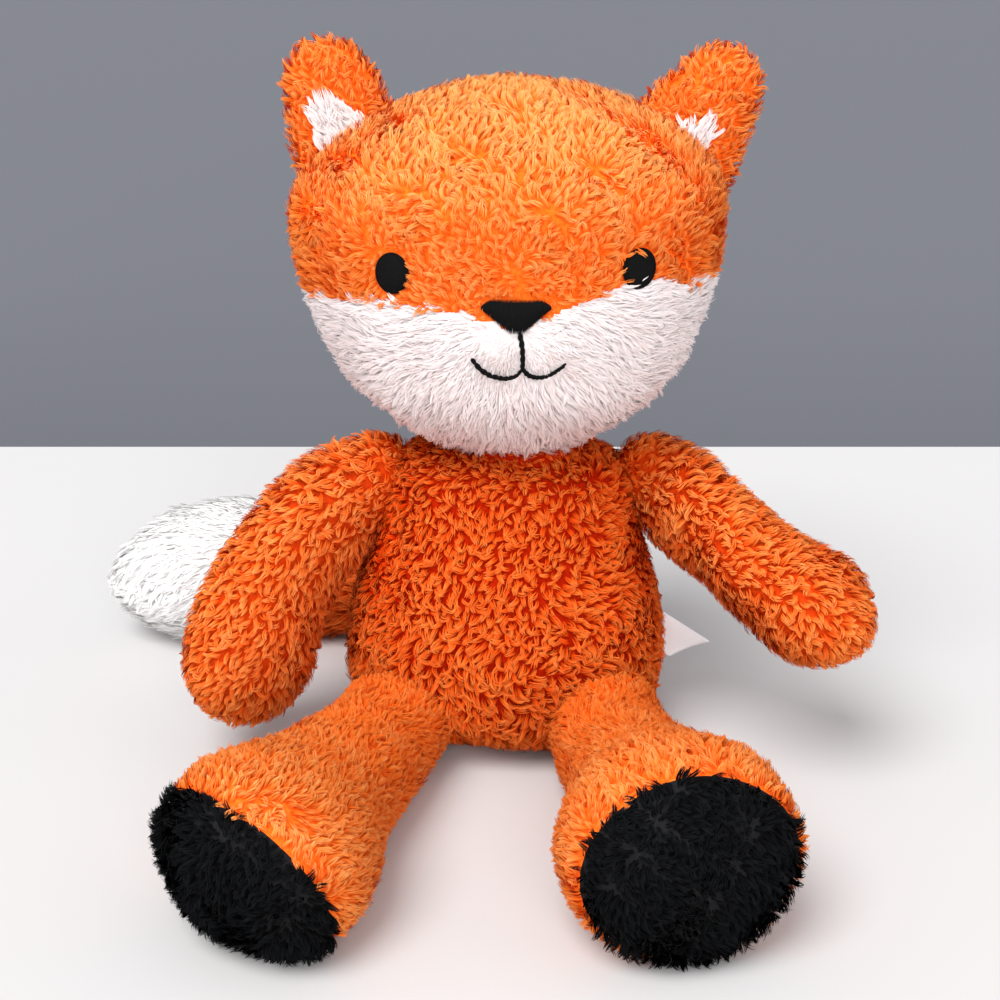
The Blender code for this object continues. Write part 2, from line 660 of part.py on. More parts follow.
def make_ear(side):
    sign = SIDES[side]
    hinge = ear_hinge(side)
    slope, lean = math.radians(EAR_SEAM_SLOPE), math.radians(EAR_LEANS[side])
    root = hinge.middle + hinge.outward * hinge.radius * 0.3
    lean_way = Vector((sign * math.sin(lean), 0, math.cos(lean)))
    points = [hinge.start, root] + [root + lean_way * EAR_LENGTH * share for share in (0.25, 0.5, 0.75, 1)]
    # the rings turn evenly from the seam's slope to the ear's lean
    tilts = [slope + (lean - slope) * share for share in (0, 0, 0.2, 0.5, 0.8, 1)]
    ways = [Vector((sign * math.sin(tilt), 0, math.cos(tilt))) for tilt in tilts]
    axes = [Vector((sign * math.cos(tilt), 0, -math.sin(tilt))) for tilt in tilts]
    base, tip, thick = EAR_SEAM_HALF_LENGTH, EAR_TIP_HALF_WIDTH, EAR_HALF_THICKNESS
    widths = (base, base, base * 0.92, base * 0.6 + tip * 0.4, base * 0.3 + tip * 0.7, tip)
    depths = (thick, thick, thick * 1.06, thick * 1.08, thick, thick * 0.75)
    caps = (hinge.radius, EAR_TIP_HALF_WIDTH)
    ear = soft_form(f"ear_{side}_cover", points, widths, depths, axes, caps, (16, 10), 0, "orange", 2.0, ways)
    skin = copy_of(ear, "skin")
    turn = Matrix.Translation(points[3] - lean_way * EAR_LENGTH * EAR_INNER_DROP_SHARE)
    turn = turn @ Matrix.Rotation(sign * (lean + slope) / 2, 4, "Y")
    near, far = -EAR_HALF_THICKNESS - OVERRUN, -EAR_HALF_THICKNESS * 1.08 + EAR_INNER_DEPTH

    def inner_outline(grow):
        half, length = EAR_INNER_HALF_WIDTH + grow, EAR_INNER_LENGTH / 2 + grow
        # shares of the half width and half length: a blunt teardrop, point up
        shares = ((0.9, -0.85), (1, -0.45), (0.92, 0), (0.68, 0.5), (0.34, 0.88), (0, 1))
        rounded = [(half * w, length * h) for w, h in shares]
        return [(0, -length)] + rounded + [(-x, z) for x, z in reversed(rounded[:-1])]

    inner = boolean(prism(f"ear_{side}_inner", inner_outline(0), near, far, turn), "INTERSECT", skin)
    recolour(inner, "white")
    boolean(ear, "DIFFERENCE", prism("pocket", inner_outline(GAP), near, far + GAP, turn))


# Arms, legs and tail: each a cover, open at its root, round its filling

STUFFING_HOLE_SHARE = 0.5  # of the root's size


def hollow_limb(name, build, hinge, count):
    """A cover with a filling inside it, and the hole in the root where it was stuffed."""
    cover = build(f"{name}_cover", 0.0, count, "orange")
    sides, rings = count
    inner_count = (sides - 4, rings - 3)
    boolean(cover, "DIFFERENCE", build("inside", CLOTH, inner_count, None))
    filling = build(f"{name}_filling", CLOTH + EASE, inner_count, "filling")
    half_axes = (
        hinge.outward * CLOTH * 2,
        hinge.axis * hinge.half_length * STUFFING_HOLE_SHARE,
        hinge.outward.cross(hinge.axis) * hinge.radius * STUFFING_HOLE_SHARE,
    )
    boolean(cover, "DIFFERENCE", ellipsoid("stuffing_hole", hinge.start, half_axes, (10, 8)))
    return cover, filling


def ahead_of(middle, way):
    """A cutter for all that lies ahead of a plane."""
    facing = Vector((0, 1, 0)).rotation_difference(way).to_matrix().to_4x4()
    reach = TAIL_LENGTH
    square = [(-reach, -reach), (reach, -reach), (reach, reach), (-reach, reach)]
    return prism("ahead", square, 0, reach, Matrix.Translation(middle) @ facing)


def make_arm(side):
    sign = SIDES[side]
    hinge = shoulder(side)
    bend = math.radians(ARM_BENDS[side])
    down = hinge.outward.cross(hinge.axis)

    def on_arm(share):
        turned = bend * share
        arc = hinge.outward * math.sin(turned) + down * (1 - math.cos(turned))
        return hinge.middle + arc * ARM_LENGTH / bend

    def turned_axis(share):
        way = Matrix.Rotation(-bend * share, 3, hinge.axis) @ hinge.outward
        return Matrix.Rotation(twist * share, 3, way) @ hinge.axis

    # shares of the arm's length from its hinge to the fingertips
    points = [hinge.start, hinge.middle] + [on_arm(share) for share in (0.2, 0.46, 0.74, 1)]
    broad = (SHOULDER_RADIUS, SHOULDER_RADIUS, ARM_HALF_WIDTH, HAND_HALF_WIDTH * 0.92,
             HAND_HALF_WIDTH, HAND_HALF_WIDTH * 0.9)
    thick = (SHOULDER_HALF_THICKNESS, SHOULDER_HALF_THICKNESS, ARM_HALF_THICKNESS, HAND_HALF_THICKNESS * 0.84,
             HAND_HALF_THICKNESS, HAND_HALF_THICKNESS * 0.9)
    twist = math.radians(HAND_TWISTS[side]) * sign
    axes = [turned_axis(share) for share in (0, 0, 0.4, 0.8, 1, 1)]
    caps = (hinge.radius, HAND_HALF_WIDTH)

    def build(name, inset, count, colour):
        return soft_form(name, points, thick, broad, axes, caps, count, inset, colour)

    hollow_limb(f"arm_{side}", build, hinge, (14, 12))


def make_leg(side):
    sign = SIDES[side]
    hinge = hip(side)
    turn = math.radians(LEG_SPLAYS[side] + FOOT_TURNS[side])
    tip = math.radians(FOOT_TIPS[side])
    foot_way = Vector(
        (sign * math.sin(turn) * math.cos(tip), -math.cos(turn) * math.cos(tip), -math.sin(tip))
    )
    shin_z = LEG_RADIUS - FLOOR_CUT
    foot_wide, foot_high = (half * FOOT_FULLNESS[side] for half in (FOOT_HALF_WIDTH, FOOT_HALF_HEIGHT))
    foot_z = foot_high - FLOOR_CUT

    def along(share, z):
        point = hinge.middle + hinge.outward * LEG_LENGTH * share
        return Vector((point.x, point.y, z))

    foot = along(0.78, foot_z)
    toe = foot + foot_way * LEG_LENGTH * 0.22
    points = [hinge.start, hinge.middle, along(0.2, shin_z), along(0.48, (shin_z + foot_z) / 2), foot, toe]
    wide = (HIP_HALF_WIDTH, HIP_HALF_WIDTH, LEG_RADIUS, LEG_RADIUS * 1.16, foot_wide, foot_wide * 0.86)
    high = (HIP_RADIUS, HIP_RADIUS, LEG_RADIUS, LEG_RADIUS * 1.16, foot_high, foot_high * 0.86)
    caps = (hinge.radius, TOE_ROUNDING)
    # the rings turn evenly from the hip to the way that the sole faces
    ways = [hinge.outward.lerp(foot_way, share) for share in (0, 0, 0.15, 0.5, 1, 1)]

    def build(name, inset, count, colour):
        return soft_form(name, points, wide, high, [hinge.axis] * 2, caps, count, inset, colour, 2.0, ways)

    cover, _ = hollow_limb(f"leg_{side}", build, hinge, (16, 13))
    flatten(cover, FLOOR_CUT)
    seam = toe - foot_way * SOLE_DEPTHS[side]
    sole = copy_of(cover, f"foot_{side}_sole")
    boolean(sole, "INTERSECT", ahead_of(seam + foot_way * GAP / 2, foot_way))
    recolour(sole, "black")
    boolean(cover, "DIFFERENCE", ahead_of(seam - foot_way * GAP / 2, foot_way))


def make_tail():
    hinge = tail_hinge()
    lie_z = TAIL_RADIUS - FLOOR_CUT
    # shares of the tail's length, to the right and back from its hinge
    route_shares = ((0.14, 0.11), (0.4, 0.17), (0.64, 0.155), (0.865, 0.1))
    points = [hinge.start, hinge.middle]
    for right, back in route_shares:
        points.append(hinge.middle + Vector((-right, back, 0)) * TAIL_LENGTH)
    for point in points[3:]:
        point.z = lie_z
    points[2].z = (TAIL_HEIGHT + lie_z) / 2
    high = (TAIL_ROOT_HALF_HEIGHT, TAIL_ROOT_HALF_HEIGHT, TAIL_RADIUS * 0.62, TAIL_RADIUS * 0.96, TAIL_RADIUS,
            TAIL_RADIUS * 0.78)
    wide = (TAIL_ROOT_RADIUS, TAIL_ROOT_RADIUS, TAIL_RADIUS * 0.6, TAIL_RADIUS * 0.96, TAIL_RADIUS,
            TAIL_RADIUS * 0.78)
    caps = (hinge.radius, TAIL_RADIUS * 1.15)

    def build(name, inset, count, colour):
        return soft_form(name, points, high, wide, [hinge.axis] * 2, caps, count, inset, colour)

    cover, _ = hollow_limb("tail", build, hinge, (16, 13))
    cover.name = "tail_base"
    flatten(cover, FLOOR_CUT)
    spine = Spine(points)
    seam, way, _ = spine.at(spine.length * TAIL_TIP_SHARE)
    tip = copy_of(cover, "tail_tip")
    boolean(tip, "INTERSECT", ahead_of(seam + way * GAP / 2, way))
    recolour(tip, "white")
    boolean(cover, "DIFFERENCE", ahead_of(seam - way * GAP / 2, way))


def make_label():
    """A folded tape label, its inner end held by the left side seam."""
    middle_x, half_width, _ = torso_size_at(LABEL_HEIGHT)
    edge = middle_x + half_width
    label = block(
        "care_label",
        (edge - LABEL_LENGTH, -LABEL_THICKNESS / 2, LABEL_HEIGHT - LABEL_WIDTH / 2),
        (edge + LABEL_LENGTH, LABEL_THICKNESS / 2, LABEL_HEIGHT + LABEL_WIDTH / 2),
    )
    boolean(label, "DIFFERENCE", torso_form("torso_cutter", -GAP))
    recolour(label, "label")


def main():
    clear_scene()
    make_torso()
    make_head()
    for side in SIDES:
        make_ear(side)
        make_arm(side)
        make_leg(side)
    make_tail()
    make_label()


main()
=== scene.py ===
import math

import bpy
import numpy as np
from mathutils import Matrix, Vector, kdtree
from mathutils.bvhtree import BVHTree


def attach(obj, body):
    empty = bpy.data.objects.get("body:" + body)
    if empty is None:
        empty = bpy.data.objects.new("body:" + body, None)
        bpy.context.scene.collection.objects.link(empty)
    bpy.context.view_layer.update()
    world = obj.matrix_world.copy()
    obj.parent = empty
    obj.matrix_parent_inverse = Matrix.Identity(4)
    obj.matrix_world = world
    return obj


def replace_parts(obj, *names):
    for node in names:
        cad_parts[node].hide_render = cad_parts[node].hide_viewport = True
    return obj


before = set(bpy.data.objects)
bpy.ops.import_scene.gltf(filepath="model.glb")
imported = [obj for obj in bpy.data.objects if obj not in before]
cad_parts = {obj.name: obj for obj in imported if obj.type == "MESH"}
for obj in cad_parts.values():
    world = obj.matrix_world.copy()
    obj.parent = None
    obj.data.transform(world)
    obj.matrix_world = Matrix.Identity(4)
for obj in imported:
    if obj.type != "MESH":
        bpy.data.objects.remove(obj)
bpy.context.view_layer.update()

# The fox faces -Y and its left side is +X. Every skin is a padded cloth form in the
# space of its cover, and the pile grows out of the skins in curled locks.

sides = {"left": 1, "right": -1}
up = np.array((0, 0, 1.0))


def unit(v):
    return v / np.maximum(np.linalg.norm(v, axis=-1, keepdims=True), 1e-12)


# a smooth line through the values, read at places counted in values from the first
def along(values, place):
    values = np.asarray(values, float)
    last = len(values) - 1
    place = np.clip(place, 0, last)
    i = np.minimum(place.astype(int), last - 1)
    t = place - i
    if values.ndim > 1:
        t = t[:, None]
    before, start = values[np.maximum(i - 1, 0)], values[i]
    end, after = values[i + 1], values[np.minimum(i + 2, last)]
    return (
        start
        + (end - before) * t / 2
        + (before * 2 - start * 5 + end * 4 - after) * t**2 / 2
        + (start * 3 - before - end * 3 + after) * t**3 / 2
    )


def runOf(line):
    return np.concatenate([[0], np.cumsum(np.linalg.norm(np.diff(line, axis=0), axis=1))])


# three smooth values for each point, which wander over about the given size, by the given strength
def drift(p, size, strength, seed, waves=5):
    rng = np.random.default_rng(seed)
    k = rng.normal(size=(waves, 3)) * 2.2 / size
    ways = rng.normal(size=(waves, 3))
    phase = rng.uniform(0, 2 * math.pi, waves)
    return np.sin(p @ k.T + phase) @ ways / math.sqrt(waves) * strength


# Padded forms: rings of rounded sections along a middle line, closed by a cap at each end
spanSamples = 24
nudge = 0.04


def stuffedForm(form):
    points = np.array(form["points"], float)
    rings, around = form["count"]
    end = len(points) - 1
    dense = np.linspace(0, end, end * spanSamples + 1)
    run = runOf(along(points, dense))
    distance = run[-1] * ((1 - np.cos(math.pi * np.arange(1, rings) / rings)) / 2)
    place = np.interp(distance, run, dense)
    centre = along(points, place)
    if "ways" in form:
        way = unit(along(form["ways"], place))
    else:
        ahead, behind = np.minimum(place + nudge, end), np.maximum(place - nudge, 0)
        way = unit(along(points, ahead) - along(points, behind))
    drawn = np.ones(len(place))
    for cap, fromEnd in zip(form["caps"], (distance, run[-1] - distance)):
        close = fromEnd < cap
        drawn[close] *= np.sqrt(np.maximum(1 - (1 - fromEnd[close] / cap) ** 2, 0))
    axes = form.get("axes", [(1, 0, 0), (1, 0, 0)])
    wide = along(axes, place * (len(axes) - 1) / end)
    wide = unit(wide - way * np.sum(way * wide, axis=1, keepdims=True))
    deep = np.cross(way, wide)
    turn = 2 * math.pi * np.arange(around) / around
    power = 2 / form.get("squareness", 2.0)
    c, s = (np.sign(wave) * np.abs(wave) ** power for wave in (np.cos(turn), np.sin(turn)))
    a = (along(form["widths"], place) * drawn)[:, None] * c[None]
    b = (along(form["depths"], place) * drawn)[:, None] * s[None]
    grid = centre[:, None] + a[..., None] * wide[:, None] + b[..., None] * deep[:, None]
    co = np.concatenate([grid.reshape(-1, 3), points[:1], points[-1:]])
    first, last = len(co) - 2, len(co) - 1
    k = np.arange(around)
    n = (k + 1) % around
    rows = np.arange(rings - 2)[:, None] * around
    quads = np.stack([rows + k, rows + n, rows + n + around, rows + k + around], axis=-1).reshape(-1, 4)
    top = (rings - 2) * around
    fans = [(first, j, i) for i, j in zip(k, n)] + [(last, top + i, top + j) for i, j in zip(k, n)]
    return co, quads, np.array(fans)


def meshOf(name, co, quads, tris=np.zeros((0, 3), int), uv=None, shade=None):
    mesh = bpy.data.meshes.new(name)
    loops = np.concatenate([quads.reshape(-1), tris.reshape(-1)])
    starts = np.concatenate([np.arange(len(quads)) * 4, len(quads) * 4 + np.arange(len(tris)) * 3])
    mesh.vertices.add(len(co))
    mesh.vertices.foreach_set("co", np.ascontiguousarray(co, np.float32).ravel())
    mesh.loops.add(len(loops))
    mesh.loops.foreach_set("vertex_index", loops.astype(np.int32))
    mesh.polygons.add(len(starts))
    mesh.polygons.foreach_set("loop_start", starts.astype(np.int32))
    mesh.update(calc_edges=True)
    if uv is not None:
        layer = mesh.uv_layers.new(name="OFBake")
        layer.data.foreach_set("uv", np.ascontiguousarray(uv[loops], np.float32).ravel())
    if shade is not None:
        normals = mesh.attributes.new("custom_normal", "FLOAT_VECTOR", "POINT")
        normals.data.foreach_set("vector", np.ascontiguousarray(shade, np.float32).ravel())
    mesh.shade_smooth()
    return mesh


def show(name, mesh, body, paint):
    piece = bpy.data.objects.new(name, mesh)
    bpy.context.scene.collection.objects.link(piece)
    for each in paint if isinstance(paint, list) else [paint]:
        mesh.materials.append(each)
    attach(piece, body)
    return piece


# Paints
dullness = 0.8


def newPaint(name):
    paint = bpy.data.materials.new(name)
    paint.use_nodes = True
    nodes, links = paint.node_tree.nodes, paint.node_tree.links
    shader = nodes["Principled BSDF"]
    shader.inputs["Roughness"].default_value = dullness
    return paint, nodes, links, shader


def ramp(nodes, stops):
    made = nodes.new("ShaderNodeValToRGB")
    spare = made.color_ramp.elements
    while len(spare) < len(stops):
        spare.new(0.5)
    for element, (place, colour) in zip(spare, stops):
        element.position = place
        element.color = (*colour, 1)
    return made


# u runs from a strand's root to its tip, and v is its tone, from the dark ramp to the light one
# Along a strand the colour is partly the cloth's own and partly painted light: the roots are coloured for the
# shade and the reddened light deep in the pile, and the tips for their lit ends.
def pilePaint(name, dark, light, through=0.0):
    paint, nodes, links, shader = newPaint(name)
    uv = nodes.new("ShaderNodeUVMap")
    uv.uv_map = "OFBake"
    split = nodes.new("ShaderNodeSeparateXYZ")
    links.new(uv.outputs[0], split.inputs[0])
    dark, light = ramp(nodes, dark), ramp(nodes, light)
    mix = nodes.new("ShaderNodeMix")
    mix.data_type = "RGBA"
    links.new(split.outputs[0], dark.inputs[0])
    links.new(split.outputs[0], light.inputs[0])
    links.new(split.outputs[1], mix.inputs[0])
    links.new(dark.outputs[0], mix.inputs[6])
    links.new(light.outputs[0], mix.inputs[7])
    links.new(mix.outputs[2], shader.inputs["Base Color"])
    shader.inputs["Specular IOR Level"].default_value = 0.01
    shader.inputs["Subsurface Weight"].default_value = through
    shader.inputs["Subsurface Scale"].default_value = 0.003
    shader.inputs["Subsurface Radius"].default_value = (1, 1, 1)
    return paint


def clothPaint(name, dark, light, grain=900, gloss=0.2):
    paint, nodes, links, shader = newPaint(name)
    place = nodes.new("ShaderNodeTexCoord")
    noise = nodes.new("ShaderNodeTexNoise")
    noise.inputs["Scale"].default_value = grain
    noise.inputs["Detail"].default_value = 3
    links.new(place.outputs["Object"], noise.inputs["Vector"])
    tone = ramp(nodes, [(0.35, dark), (0.65, light)])
    links.new(noise.outputs[0], tone.inputs[0])
    links.new(tone.outputs[0], shader.inputs["Base Color"])
    bump = nodes.new("ShaderNodeBump")
    bump.inputs["Strength"].default_value = 0.4
    bump.inputs["Distance"].default_value = 0.0003
    links.new(noise.outputs[0], bump.inputs["Height"])
    links.new(bump.outputs[0], shader.inputs["Normal"])
    shader.inputs["Specular IOR Level"].default_value = gloss
    return paint


# The skins show in the gaps between the locks, and the deep red of the orange skins is partly painted shade
# there.
paints = {
    "skinOrange": clothPaint("cloth_orange", (0.34, 0.008, 0.0005), (0.42, 0.014, 0.001), gloss=0.02),
    "skinArm": clothPaint("cloth_arm_orange", (0.52, 0.034, 0.002), (0.6, 0.05, 0.004), gloss=0.02),
    "skinBright": clothPaint("cloth_bright_orange", (0.94, 0.12, 0.007), (0.96, 0.18, 0.018), gloss=0.02),
    "skinWhite": clothPaint("cloth_white", (0.94, 0.88, 0.87), (0.96, 0.91, 0.9)),
    "skinBlack": clothPaint("cloth_black", (0.003, 0.003, 0.004), (0.007, 0.007, 0.008)),
    "orange": pilePaint(
        "pile_orange",
        [(0, (0.38, 0.006, 0.0003)), (0.45, (0.64, 0.042, 0.002)), (1, (0.76, 0.115, 0.012))],
        [(0, (0.52, 0.018, 0.001)), (0.45, (0.77, 0.125, 0.013)), (1, (0.83, 0.27, 0.064))],
    ),
    "arm": pilePaint(
        "pile_arm_orange",
        [(0, (0.68, 0.03, 0.001)), (0.45, (0.78, 0.08, 0.006)), (1, (0.82, 0.155, 0.02))],
        [(0, (0.76, 0.07, 0.004)), (0.45, (0.84, 0.2, 0.03)), (1, (0.87, 0.36, 0.11))],
    ),
    "bright": pilePaint(
        "pile_bright_orange",
        [(0, (0.93, 0.075, 0.003)), (0.45, (0.86, 0.13, 0.012)), (1, (0.83, 0.215, 0.034))],
        [(0, (0.95, 0.14, 0.01)), (0.45, (0.87, 0.28, 0.05)), (1, (0.87, 0.46, 0.18))],
    ),
    # The white's dark ramp is pinker: partly the warm white of the cloth and partly painted shade with a
    # painted reflection of the orange body, which the chin takes most.
    "white": pilePaint(
        "pile_white",
        [(0, (0.91, 0.76, 0.73)), (0.45, (0.86, 0.72, 0.7)), (1, (0.8, 0.67, 0.65))],
        [(0, (0.95, 0.89, 0.885)), (0.45, (0.91, 0.85, 0.85)), (1, (0.87, 0.82, 0.82))],
        through=0.1,
    ),
    "tail": pilePaint(
        "pile_tail_white",
        [(0, (0.91, 0.9, 0.89)), (1, (0.79, 0.78, 0.77))],
        [(0, (0.92, 0.91, 0.9)), (1, (0.83, 0.82, 0.81))],
        through=0.1,
    ),
    "black": pilePaint(
        "pile_black",
        [(0, (0.002, 0.002, 0.002)), (1, (0.004, 0.004, 0.005))],
        [(0, (0.003, 0.003, 0.003)), (1, (0.011, 0.012, 0.013))],
    ),
    "thread": clothPaint(
        "thread_black", (0.001, 0.001, 0.0012), (0.003, 0.003, 0.0035), grain=2500, gloss=0.12
    ),
    "label": clothPaint("label_tape", (0.93, 0.93, 0.95), (0.96, 0.96, 0.97), grain=3000),
}
print("paints mixed", len(paints))

# Pile: locks of flat strands, rooted all over a skin
tryShare = 5


# roots all over a skin, no two nearer than the spacing
def scatter(skin, spacing, seed):
    rng = np.random.default_rng(seed)
    co, tris, normals = skin["co"], skin["tris"], skin["normals"]
    a, b, c = (co[tris[:, i]] for i in range(3))
    area = np.linalg.norm(np.cross(b - a, c - a), axis=1) / 2
    count = int(area.sum() / spacing**2 * tryShare)
    pick = np.searchsorted(np.cumsum(area) / area.sum(), rng.uniform(size=count))
    corners = tris[np.minimum(pick, len(tris) - 1)]
    u, v = rng.uniform(size=count), rng.uniform(size=count)
    over = u + v > 1
    u[over], v[over] = 1 - u[over], 1 - v[over]
    w = 1 - u - v

    def blend(values):
        first, second, third = (values[corners[:, i]] for i in range(3))
        return first * w[:, None] + second * u[:, None] + third * v[:, None]

    p, n = blend(co), unit(blend(normals))
    tree = kdtree.KDTree(count)
    for i, point in enumerate(p):
        tree.insert(point, i)
    tree.balance()
    free = np.ones(count, bool)
    kept = []
    for i in range(count):
        if free[i]:
            kept.append(i)
            for _, j, _ in tree.find_range(p[i], spacing):
                free[j] = False
    return p[kept], n[kept]


levels = 6
steps = np.linspace(0, 1, levels)
taper = np.array([0.7, 1, 1, 0.9, 0.6, 0])
anyTurn = 6.3
rootSunk = 0.3
curlPower = 1.3
floorGap = 0.0003
vary = {
    "length": (0.8, 1.2), "leanStart": 0.2, "leanEnd": 0.35, "angle": 0.3, "off": (0.15, 1),
    "reach": (0.72, 1.12), "waves": (2, 5), "spread": (0.9, 1.15), "roll": 0.3, "width": (0.7, 1.25),
    "lockTone": 0.14, "strandTone": 0.05,
}


# the middle lines of the locks, bent over from their roots and curled sideways
def bendLocks(p, n, flow, look, rng):
    count = len(p)
    f = flow - n * np.sum(flow * n, axis=1, keepdims=True)
    f = unit(f + 1e-6)
    c = np.cross(n, f)
    long = look["length"] * rng.uniform(*vary["length"], count)
    start, end = (np.radians(x) for x in look["lean"])
    lower = 1 - look.get("rise", 0)
    start = (start + rng.uniform(-vary["leanStart"], vary["leanStart"], count)) * lower
    end = (end + rng.uniform(-vary["leanEnd"], vary["leanEnd"], count)) * lower
    heading = rng.normal(size=count) * math.radians(look["stray"])
    swirl = rng.normal(size=count) * math.radians(look["swirl"])
    line, side, outer = (np.zeros((count, levels, 3)) for _ in range(3))
    at = p - n * look["radius"] * rootSunk
    for i, t in enumerate(steps):
        lean = start + (end - start) * t
        turn = heading + swirl * t**curlPower
        h = f * np.cos(turn)[:, None] + c * np.sin(turn)[:, None]
        line[:, i] = at
        side[:, i] = c * np.cos(turn)[:, None] - f * np.sin(turn)[:, None]
        outer[:, i] = n * np.sin(lean)[:, None] - h * np.cos(lean)[:, None]
        at = at + (n * np.cos(lean)[:, None] + h * np.sin(lean)[:, None]) * (long / (levels - 1))[:, None]
    return line, side, outer


def growLocks(p, n, flow, look, seed):
    rng = np.random.default_rng(seed)
    count, strands = len(p), look["strands"]
    line, side, outer = bendLocks(p, n, flow, look, rng)
    # strands stand round the line like the fibres of a twist
    angle = 2 * math.pi * (np.arange(strands) / strands)[None] + rng.uniform(0, anyTurn, (count, 1))
    angle = angle + rng.normal(size=(count, strands)) * vary["angle"]
    off = np.sqrt(rng.uniform(*vary["off"], (count, strands)))
    reach = rng.uniform(*vary["reach"], (count, strands))
    t = np.clip(steps[None, None] * reach[..., None], 0, 1) * (levels - 1)
    i = np.minimum(t.astype(int), levels - 2)
    w = (t - i)[..., None]
    which = np.arange(count)[:, None, None]

    def sample(x):
        return x[which, i] * (1 - w) + x[which, i + 1] * w

    middle, across, out = sample(line), unit(sample(side)), unit(sample(outer))
    wave = rng.uniform(0, anyTurn, (count, strands, 1))
    wave = wave + steps * rng.uniform(*vary["waves"], (count, strands, 1))
    round0, round1, round2 = look["profile"]
    body = (round0 * (1 - steps) ** 2 + round1 * 2 * steps * (1 - steps) + round2 * steps**2)[None, None]
    spread = look["radius"] * off[..., None] * body * rng.uniform(*vary["spread"], (count, 1, 1))
    theta = angle[..., None] + np.sin(wave) * look.get("wander", 0.35)
    radial = across * np.cos(theta)[..., None] + out * np.sin(theta)[..., None]
    centre = middle + radial * spread[..., None]
    roll = rng.normal(size=(count, strands, 1, 1)) * vary["roll"]
    # each strand turns its face away from the skin, and is lit partly as the skin under it is
    facing = np.sign(np.sum(radial[:, :, levels // 2] * n[:, None], axis=-1) + 1e-6)[:, :, None, None]
    flat = out * np.sin(roll) - across * np.cos(roll)
    lit = unit(n[:, None, None] * look["soft"] + radial * facing * (1 - look["soft"]))
    half = look["width"] / 2 * taper[None, None] * rng.uniform(*vary["width"], (count, strands, 1))
    left, right = centre - flat * half[..., None], centre + flat * half[..., None]
    corners = 2 * levels - 1
    verts = np.empty((count, strands, corners, 3))
    verts[:, :, 0:-1:2] = left[:, :, :-1]
    verts[:, :, 1:-1:2] = right[:, :, :-1]
    verts[:, :, -1] = centre[:, :, -1]
    verts[..., 2] = np.maximum(verts[..., 2], floorGap)
    shade = np.empty_like(verts)
    shade[:, :, 0:-1:2] = shade[:, :, 1:-1:2] = lit[:, :, :-1]
    shade[:, :, -1] = lit[:, :, -1]
    tone = look["tone"][:, None] + rng.normal(size=(count, 1)) * vary["lockTone"]
    tone = tone + rng.normal(size=(count, strands)) * vary["strandTone"]
    uv = np.empty((count, strands, corners, 2))
    uv[..., 0] = 0.01 + 0.98 * np.repeat(steps, 2)[:-1]
    uv[..., 1] = np.clip(tone, 0.02, 0.98)[..., None]
    base = (np.arange(count * strands) * corners)[:, None]
    quad = np.array([[2 * i, 2 * i + 1, 2 * i + 3, 2 * i + 2] for i in range(levels - 2)])
    quads = (base[..., None] + quad[None]).reshape(-1, 4)
    tris = base + np.array([corners - 3, corners - 2, corners - 1])[None]
    return verts.reshape(-1, 3), quads, tris, uv.reshape(-1, 2), shade.reshape(-1, 3)


mostStrands = 20900


def pile(name, body, paint, p, n, flow, look, seed):
    if isinstance(look["tone"], float):
        look = dict(look, tone=np.full(len(p), look["tone"]))
    share = math.ceil(len(p) * look["strands"] / mostStrands)
    # parts of a big pile are split by their place round the form, so that each stays small
    order = np.argsort(np.arctan2(p[:, 1] - p[:, 1].mean(), p[:, 0] - p[:, 0].mean()))
    for i, part in enumerate(np.array_split(order, share)):
        own = {
            key: (value[part] if isinstance(value, np.ndarray) and len(value) == len(p) else value)
            for key, value in look.items()
        }
        mesh = meshOf(name, *growLocks(p[part], n[part], flow[part], own, seed + i))
        show(f"{name}_{i + 1}" if share > 1 else name, mesh, body, paints[paint])
    print("grown", name, len(p), "locks in", share)


lump = {"size": 0.02, "rise": 0.0004, "seed": 11}
skinGap = 0.0002


def makeSkin(name, form, body, paint, replaces, shape=None):
    co, quads, fans = stuffedForm(form)
    tris = np.concatenate([quads[:, [0, 1, 2]], quads[:, [0, 2, 3]], fans])

    def normalsOf(co):
        face = np.cross(co[tris[:, 1]] - co[tris[:, 0]], co[tris[:, 2]] - co[tris[:, 0]])
        normals = np.zeros_like(co)
        for i in range(3):
            np.add.at(normals, tris[:, i], face)
        return unit(normals)

    normals = normalsOf(co)
    lumps = drift(co, lump["size"], lump["rise"], lump["seed"])[:, 0]
    co = co + normals * lumps[:, None]
    if shape:
        co = shape(co, normals)
    co[:, 2] = np.maximum(co[:, 2], skinGap)
    piece = show(name, meshOf(name, co, quads, fans), body, [paints[key] for key in paint])
    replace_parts(piece, *replaces)
    print("stuffed", name)
    return {"piece": piece, "co": co, "tris": tris, "normals": normalsOf(co)}


# the faces of a skin whose middles pass the test take its second paint
def paintSecond(skin, isSecond):
    mesh = skin["piece"].data
    centres = np.empty(len(mesh.polygons) * 3)
    mesh.polygons.foreach_get("center", centres)
    mesh.polygons.foreach_set("material_index", isSecond(centres.reshape(-1, 3)).astype(np.int32))


# Torso: a pear that leans a little to its left
neckPoint = np.array((0.00484, 0, 0.093))
torso = {
    "height": 0.096, "lean": 0.005, "shares": (0, 0.17, 0.36, 0.54, 0.7, 0.85, 1),
    "widths": (0.0374, 0.0454, 0.0468, 0.0435, 0.039, 0.0355, 0.0305),
    "depths": (0.032, 0.0384, 0.04, 0.0372, 0.0328, 0.029, 0.0261),
}
torsoForm = {
    "points": [(torso["lean"] * s, 0, torso["height"] * s) for s in torso["shares"]],
    "widths": torso["widths"], "depths": torso["depths"], "caps": (0.017, 0.013), "count": (64, 120),
    "squareness": 2.15,
}
torsoSkin = makeSkin(
    "torso_skin", torsoForm, "torso", ["skinOrange"],
    ("torso_cover", "torso_filling", "seat_pellet_pouch"),
)

